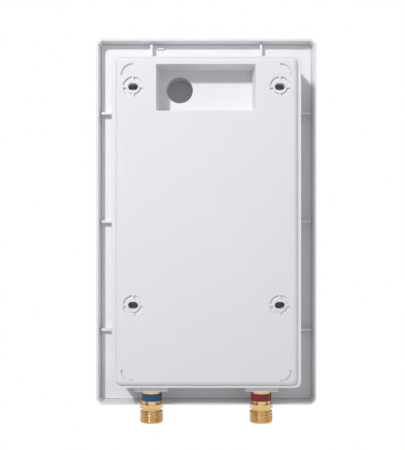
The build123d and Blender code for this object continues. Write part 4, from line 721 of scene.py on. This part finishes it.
class HEATER_OT_electronics(bpy.types.Operator):
    """Finishes of the boards and their parts, with small resistors added"""

    bl_idname = "heater.electronics"
    bl_label = "Electronics"

    def execute(self, context):
        finish_nodes(solder_mask(), "control_board", "triac_board")
        carrier = moulded_plastic("carrier_black", (0.03, 0.03, 0.032), 0.5, 0.6, 0.02)
        finish_nodes(carrier, "board_carrier")
        zinc = brushed_metal("pillar_zinc", (0.63, 0.64, 0.66), 0.3, 1)
        finish_nodes(zinc, "board_pillars", "carrier_screws", "board_screws", "triac_tabs")
        dark = moulded_plastic("module_black", (0.02, 0.02, 0.022), 0.3, 0.4, 0.01)
        finish_nodes(dark, "display_module", "control_chip", "tact_switches")
        finish_nodes(moulded_plastic("relay_blue", (0.03, 0.10, 0.30), 0.32, 0.5, 0.01), "relay")
        ivory = moulded_plastic("connector_ivory", (0.66, 0.62, 0.50), 0.4, 0.5, 0.01)
        finish_nodes(ivory, "board_connectors")
        finish_nodes(capacitor_can(), "capacitors")

        board_face = -93.6
        body = np.array([2.0, 0.6, 1.25])
        cap = np.array([0.42, 0.66, 1.3])
        cap_shift = np.array([0.85, 0.0, 0.0]) * MM
        centres = resistor_places(board_face - body[1] / 2) * MM
        recipe = new_finish("resistor_body")
        paint = recipe.blend(recipe.noise(0.4), (0.02, 0.02, 0.02), (0.05, 0.05, 0.05))
        chips = recipe.surface(Base_Color=paint, Roughness=0.4)
        points, faces = many_boxes(centres, body * MM)
        make_piece("board_resistors", points, faces, "chassis", chips, smooth=False)
        ends = np.concatenate([centres - cap_shift, centres + cap_shift])
        solder = brushed_metal("solder_ends", (0.72, 0.72, 0.70), 0.3, 0)
        points, faces = many_boxes(ends, cap * MM)
        make_piece(
            "board_resistor_ends", points, faces, "chassis", solder, smooth=False
        )
        return {"FINISHED"}


class HEATER_OT_wiring(bpy.types.Operator):
    """Insulation of the wires and leads"""

    bl_idname = "heater.wiring"
    bl_label = "Wiring"

    def execute(self, context):
        finish_nodes(insulated_wire("wire_brown", (0.16, 0.06, 0.025)), "live_wires")
        finish_nodes(insulated_wire("wire_blue", (0.03, 0.12, 0.42)), "neutral_wire")
        earth = insulated_wire("wire_green_yellow", (0.03, 0.28, 0.05), (0.75, 0.62, 0.02))
        finish_nodes(earth, "earth_wire")
        finish_nodes(insulated_wire("wire_black", (0.02, 0.02, 0.02)), "element_wires")
        finish_nodes(insulated_wire("wire_grey", (0.35, 0.35, 0.36)), "sensor_leads")
        return {"FINISHED"}


def raised_mark(outline, top, foot):
    """Points and faces of a flat outline made solid along Y: two rows of the outline's corners,
    joined by a closed band of quads, with one face at each end."""
    count = len(outline)
    rows = [
        np.stack([outline[:, 0], np.full(count, depth), outline[:, 1]], axis=-1)
        for depth in (top, foot)
    ]
    band = grid_faces(2, count, False, True)[:, ::-1].tolist()
    ends = [np.arange(count).tolist(), np.arange(2 * count - 1, count - 1, -1).tolist()]
    return np.concatenate(rows) * MM, band + ends


class HEATER_OT_front_marks(bpy.types.Operator):
    """Raised plus and minus marks on the buttons"""

    bl_idname = "heater.front_marks"
    bl_label = "Front marks"

    def execute(self, context):
        mark = moulded_plastic("mark_dark_grey", (0.10, 0.10, 0.11), 0.4, 0.4, 0.005, 0.1)
        button_x, button_z = 35.0, -100.0
        top, foot = -109.35, -109.1
        half, thin = 2.6, 0.55
        plus = [
            (-thin, -half), (thin, -half), (thin, -thin), (half, -thin), (half, thin),
            (thin, thin), (thin, half), (-thin, half), (-thin, thin), (-half, thin),
            (-half, -thin), (-thin, -thin),
        ]
        minus = [(-half, -thin), (half, -thin), (half, thin), (-half, thin)]
        for body, x, shape in (("button_up", -button_x, plus), ("button_down", button_x, minus)):
            points, faces = raised_mark(np.array(shape) + (x, button_z), top, foot)
            make_piece(body + "_mark", points, faces, body, mark, smooth=False)
        return {"FINISHED"}


# Floor, surroundings, lamps and camera

def make_floor(drop):
    """Pale floor that keeps the object's shadow near it and is plain white far out.

    Seen rays get a mix of matt paint and white glow, whose glow share grows with the distance.
    """
    half, near_glow, fade_start, fade_length = 9.0, 0.75, 900.0, 600.0
    recipe = new_finish("pale_floor")
    paint = recipe.blend(recipe.noise(60.0, 2.0), (0.86, 0.86, 0.86), (0.90, 0.90, 0.90))
    matt = recipe.node("ShaderNodeBsdfDiffuse", {}, {"Color": paint})
    glow = recipe.node("ShaderNodeEmission", {}, {"Color": (1.0, 1.0, 1.0), "Strength": 1.0})
    camera_ray, glossy_ray, clear_ray = recipe.rays()
    x, y, _ = recipe.axes()
    far = (((x * x + y * y).power(0.5) - fade_start) / fade_length).bounded()
    seen = (camera_ray + glossy_ray + clear_ray).bounded() * far.spread(near_glow, 1.0)
    mix = recipe.node(
        "ShaderNodeMixShader", {}, {0: seen, 1: matt.outputs[0], 2: glow.outputs[0]}
    )
    recipe.node("ShaderNodeOutputMaterial", {}, {"Surface": mix.outputs[0]})
    corners = [(-half, -half), (half, -half), (half, half), (-half, half)]
    mesh = bpy.data.meshes.new("floor")
    mesh.from_pydata([(*corner, -drop) for corner in corners], [], [(0, 1, 2, 3)])
    mesh.materials.append(recipe.owner)
    floor = bpy.data.objects.new("floor", mesh)
    bpy.context.scene.collection.objects.link(floor)
    return floor


def make_world(size):
    """White surroundings for the camera, soft light for the object, light bands for metal.

    The soft light from a direction is the ambient strength times one minus the slant times the
    sum of its X and Z, plus the side strength times one minus the size of its Y.
    """
    # Place round the horizon, from 0 to 1, and brightness of what metal reflects
    bands = (
        (0.0, 0.55), (0.05, 0.12), (0.15, 0.12), (0.19, 0.82), (0.25, 0.80), (0.28, 0.14),
        (0.345, 0.12), (0.37, 1.0), (0.59, 1.0), (0.615, 0.10), (0.69, 0.14), (0.73, 0.86),
        (0.81, 0.82), (0.85, 0.12), (0.95, 0.12), (1.0, 0.55),
    )
    world = bpy.data.worlds.new("studio")
    recipe = Recipe(world)
    camera_ray, glossy_ray, clear_ray = recipe.rays()
    where = recipe.node("ShaderNodeTexCoord", {}, {}).outputs["Generated"]
    side, front, up = recipe.parts(where)
    round_share = side.turn_from(front) * (0.5 / math.pi) + 0.5
    stops = [(place, (grey, grey, grey)) for place, grey in bands]
    ramp = recipe.node("ShaderNodeValToRGB", {"stops": stops}, {"Fac": round_share})
    slanted = 1.0 - (side + up) * size.world_slant
    edge_on = 1.0 - front.absolute()
    ambient = slanted * size.world_strength + edge_on * size.side_strength
    plain = recipe.node("ShaderNodeCombineXYZ", {}, {"X": ambient, "Y": ambient, "Z": ambient})
    studio = recipe.blend(glossy_ray, plain.outputs[0], ramp.outputs[0])
    seen = (camera_ray + clear_ray).bounded()
    sky = recipe.blend(seen, studio, (1.0, 1.0, 1.0))
    background = recipe.node("ShaderNodeBackground", {}, {"Color": sky, "Strength": 1.0})
    recipe.node("ShaderNodeOutputWorld", {}, {"Surface": background.outputs[0]})
    return world


def add_lamp(name, kind, place, target, power):
    """Lamp at a place, aimed at a target."""
    lamp = bpy.data.lights.new(name, kind)
    lamp.energy = power
    source = bpy.data.objects.new(name, lamp)
    source.location = place
    source.rotation_euler = (target - place).to_track_quat("-Z", "Y").to_euler()
    bpy.context.scene.collection.objects.link(source)
    return lamp


def make_lamps(size):
    """Key lamp above and to the left of the camera, and a soft lamp before the hood's front."""
    middle = Vector((0.0, -0.04, -0.02))
    key_distance, front_distance, front_size = 6.5, 2.2, 1.2
    key_place = middle + Vector((0.49, 1.0, 0.58)).normalized() * key_distance
    key = add_lamp("key_light", "SPOT", key_place, middle + Vector(size.key_aim), size.key_strength)
    key.shadow_soft_size = size.key_radius
    key.spot_size = size.key_cone
    key.spot_blend = 1.0
    front_place = middle + Vector((-0.55, -1.0, 0.6)).normalized() * front_distance
    front = add_lamp("front_light", "AREA", front_place, middle, size.front_strength)
    front.size = front_size


def make_camera():
    """Camera that looks straight at the wall side, from the photograph's place and distance."""
    image_height, focal_pixels, sensor_height = 450, 953.7, 36.0
    camera = bpy.data.cameras.new("camera")
    camera.sensor_fit = "VERTICAL"
    camera.sensor_height = sensor_height
    camera.lens = sensor_height * focal_pixels / image_height
    camera.clip_start = 0.01
    camera.clip_end = 60.0
    view = bpy.data.objects.new("camera", camera)
    bpy.context.scene.collection.objects.link(view)
    view.location = Vector((3.5, 850.0, -25.85)) * MM
    view.rotation_euler = (math.radians(90.0), 0.0, math.radians(180.0))
    return view


class HEATER_OT_stage(bpy.types.Operator):
    """Floor, lights, surroundings and camera"""

    bl_idname = "heater.stage"
    bl_label = "Stage"

    def execute(self, context):
        size = context.scene.heater_stage
        context.scene.view_settings.view_transform = "Standard"
        floor = make_floor(size.floor_drop)
        context.scene.world = make_world(size)
        make_lamps(size)
        context.scene.camera = make_camera()
        return {"FINISHED"}


class HEATER_PT_pieces(bpy.types.Panel):
    """Lists the operators and the sizes they use"""

    bl_idname = "HEATER_PT_pieces"
    bl_label = "Tankless Water Heater"
    bl_space_type = "VIEW_3D"
    bl_region_type = "UI"
    bl_category = "Heater"

    def draw(self, context):
        layout = self.layout
        for group in GROUPS:
            values = getattr(context.scene, group)
            box = layout.box()
            for name in values.bl_rna.properties.keys():
                if name not in ("rna_type", "name"):
                    box.prop(values, name)
        for operator in OPERATORS:
            layout.operator(operator.bl_idname)


GROUPS = {
    "heater_casing": HeaterCasing,
    "heater_fittings": HeaterFittings,
    "heater_stage": HeaterStage,
}
OPERATORS = (
    HEATER_OT_stage,
    HEATER_OT_casing,
    HEATER_OT_fittings,
    HEATER_OT_plumbing,
    HEATER_OT_vessel,
    HEATER_OT_safety,
    HEATER_OT_terminals,
    HEATER_OT_electronics,
    HEATER_OT_wiring,
    HEATER_OT_front_marks,
)


def register():
    for name, group in GROUPS.items():
        bpy.utils.register_class(group)
        setattr(bpy.types.Scene, name, PointerProperty(type=group))
    for kind in (*OPERATORS, HEATER_PT_pieces):
        bpy.utils.register_class(kind)


def unregister():
    for kind in reversed((*OPERATORS, HEATER_PT_pieces)):
        bpy.utils.unregister_class(kind)
    for name, group in GROUPS.items():
        delattr(bpy.types.Scene, name)
        bpy.utils.unregister_class(group)


def main():
    register()
    for operator in OPERATORS:
        area, name = operator.bl_idname.split(".")
        getattr(getattr(bpy.ops, area), name)()


if __name__ == "__main__":
    main()
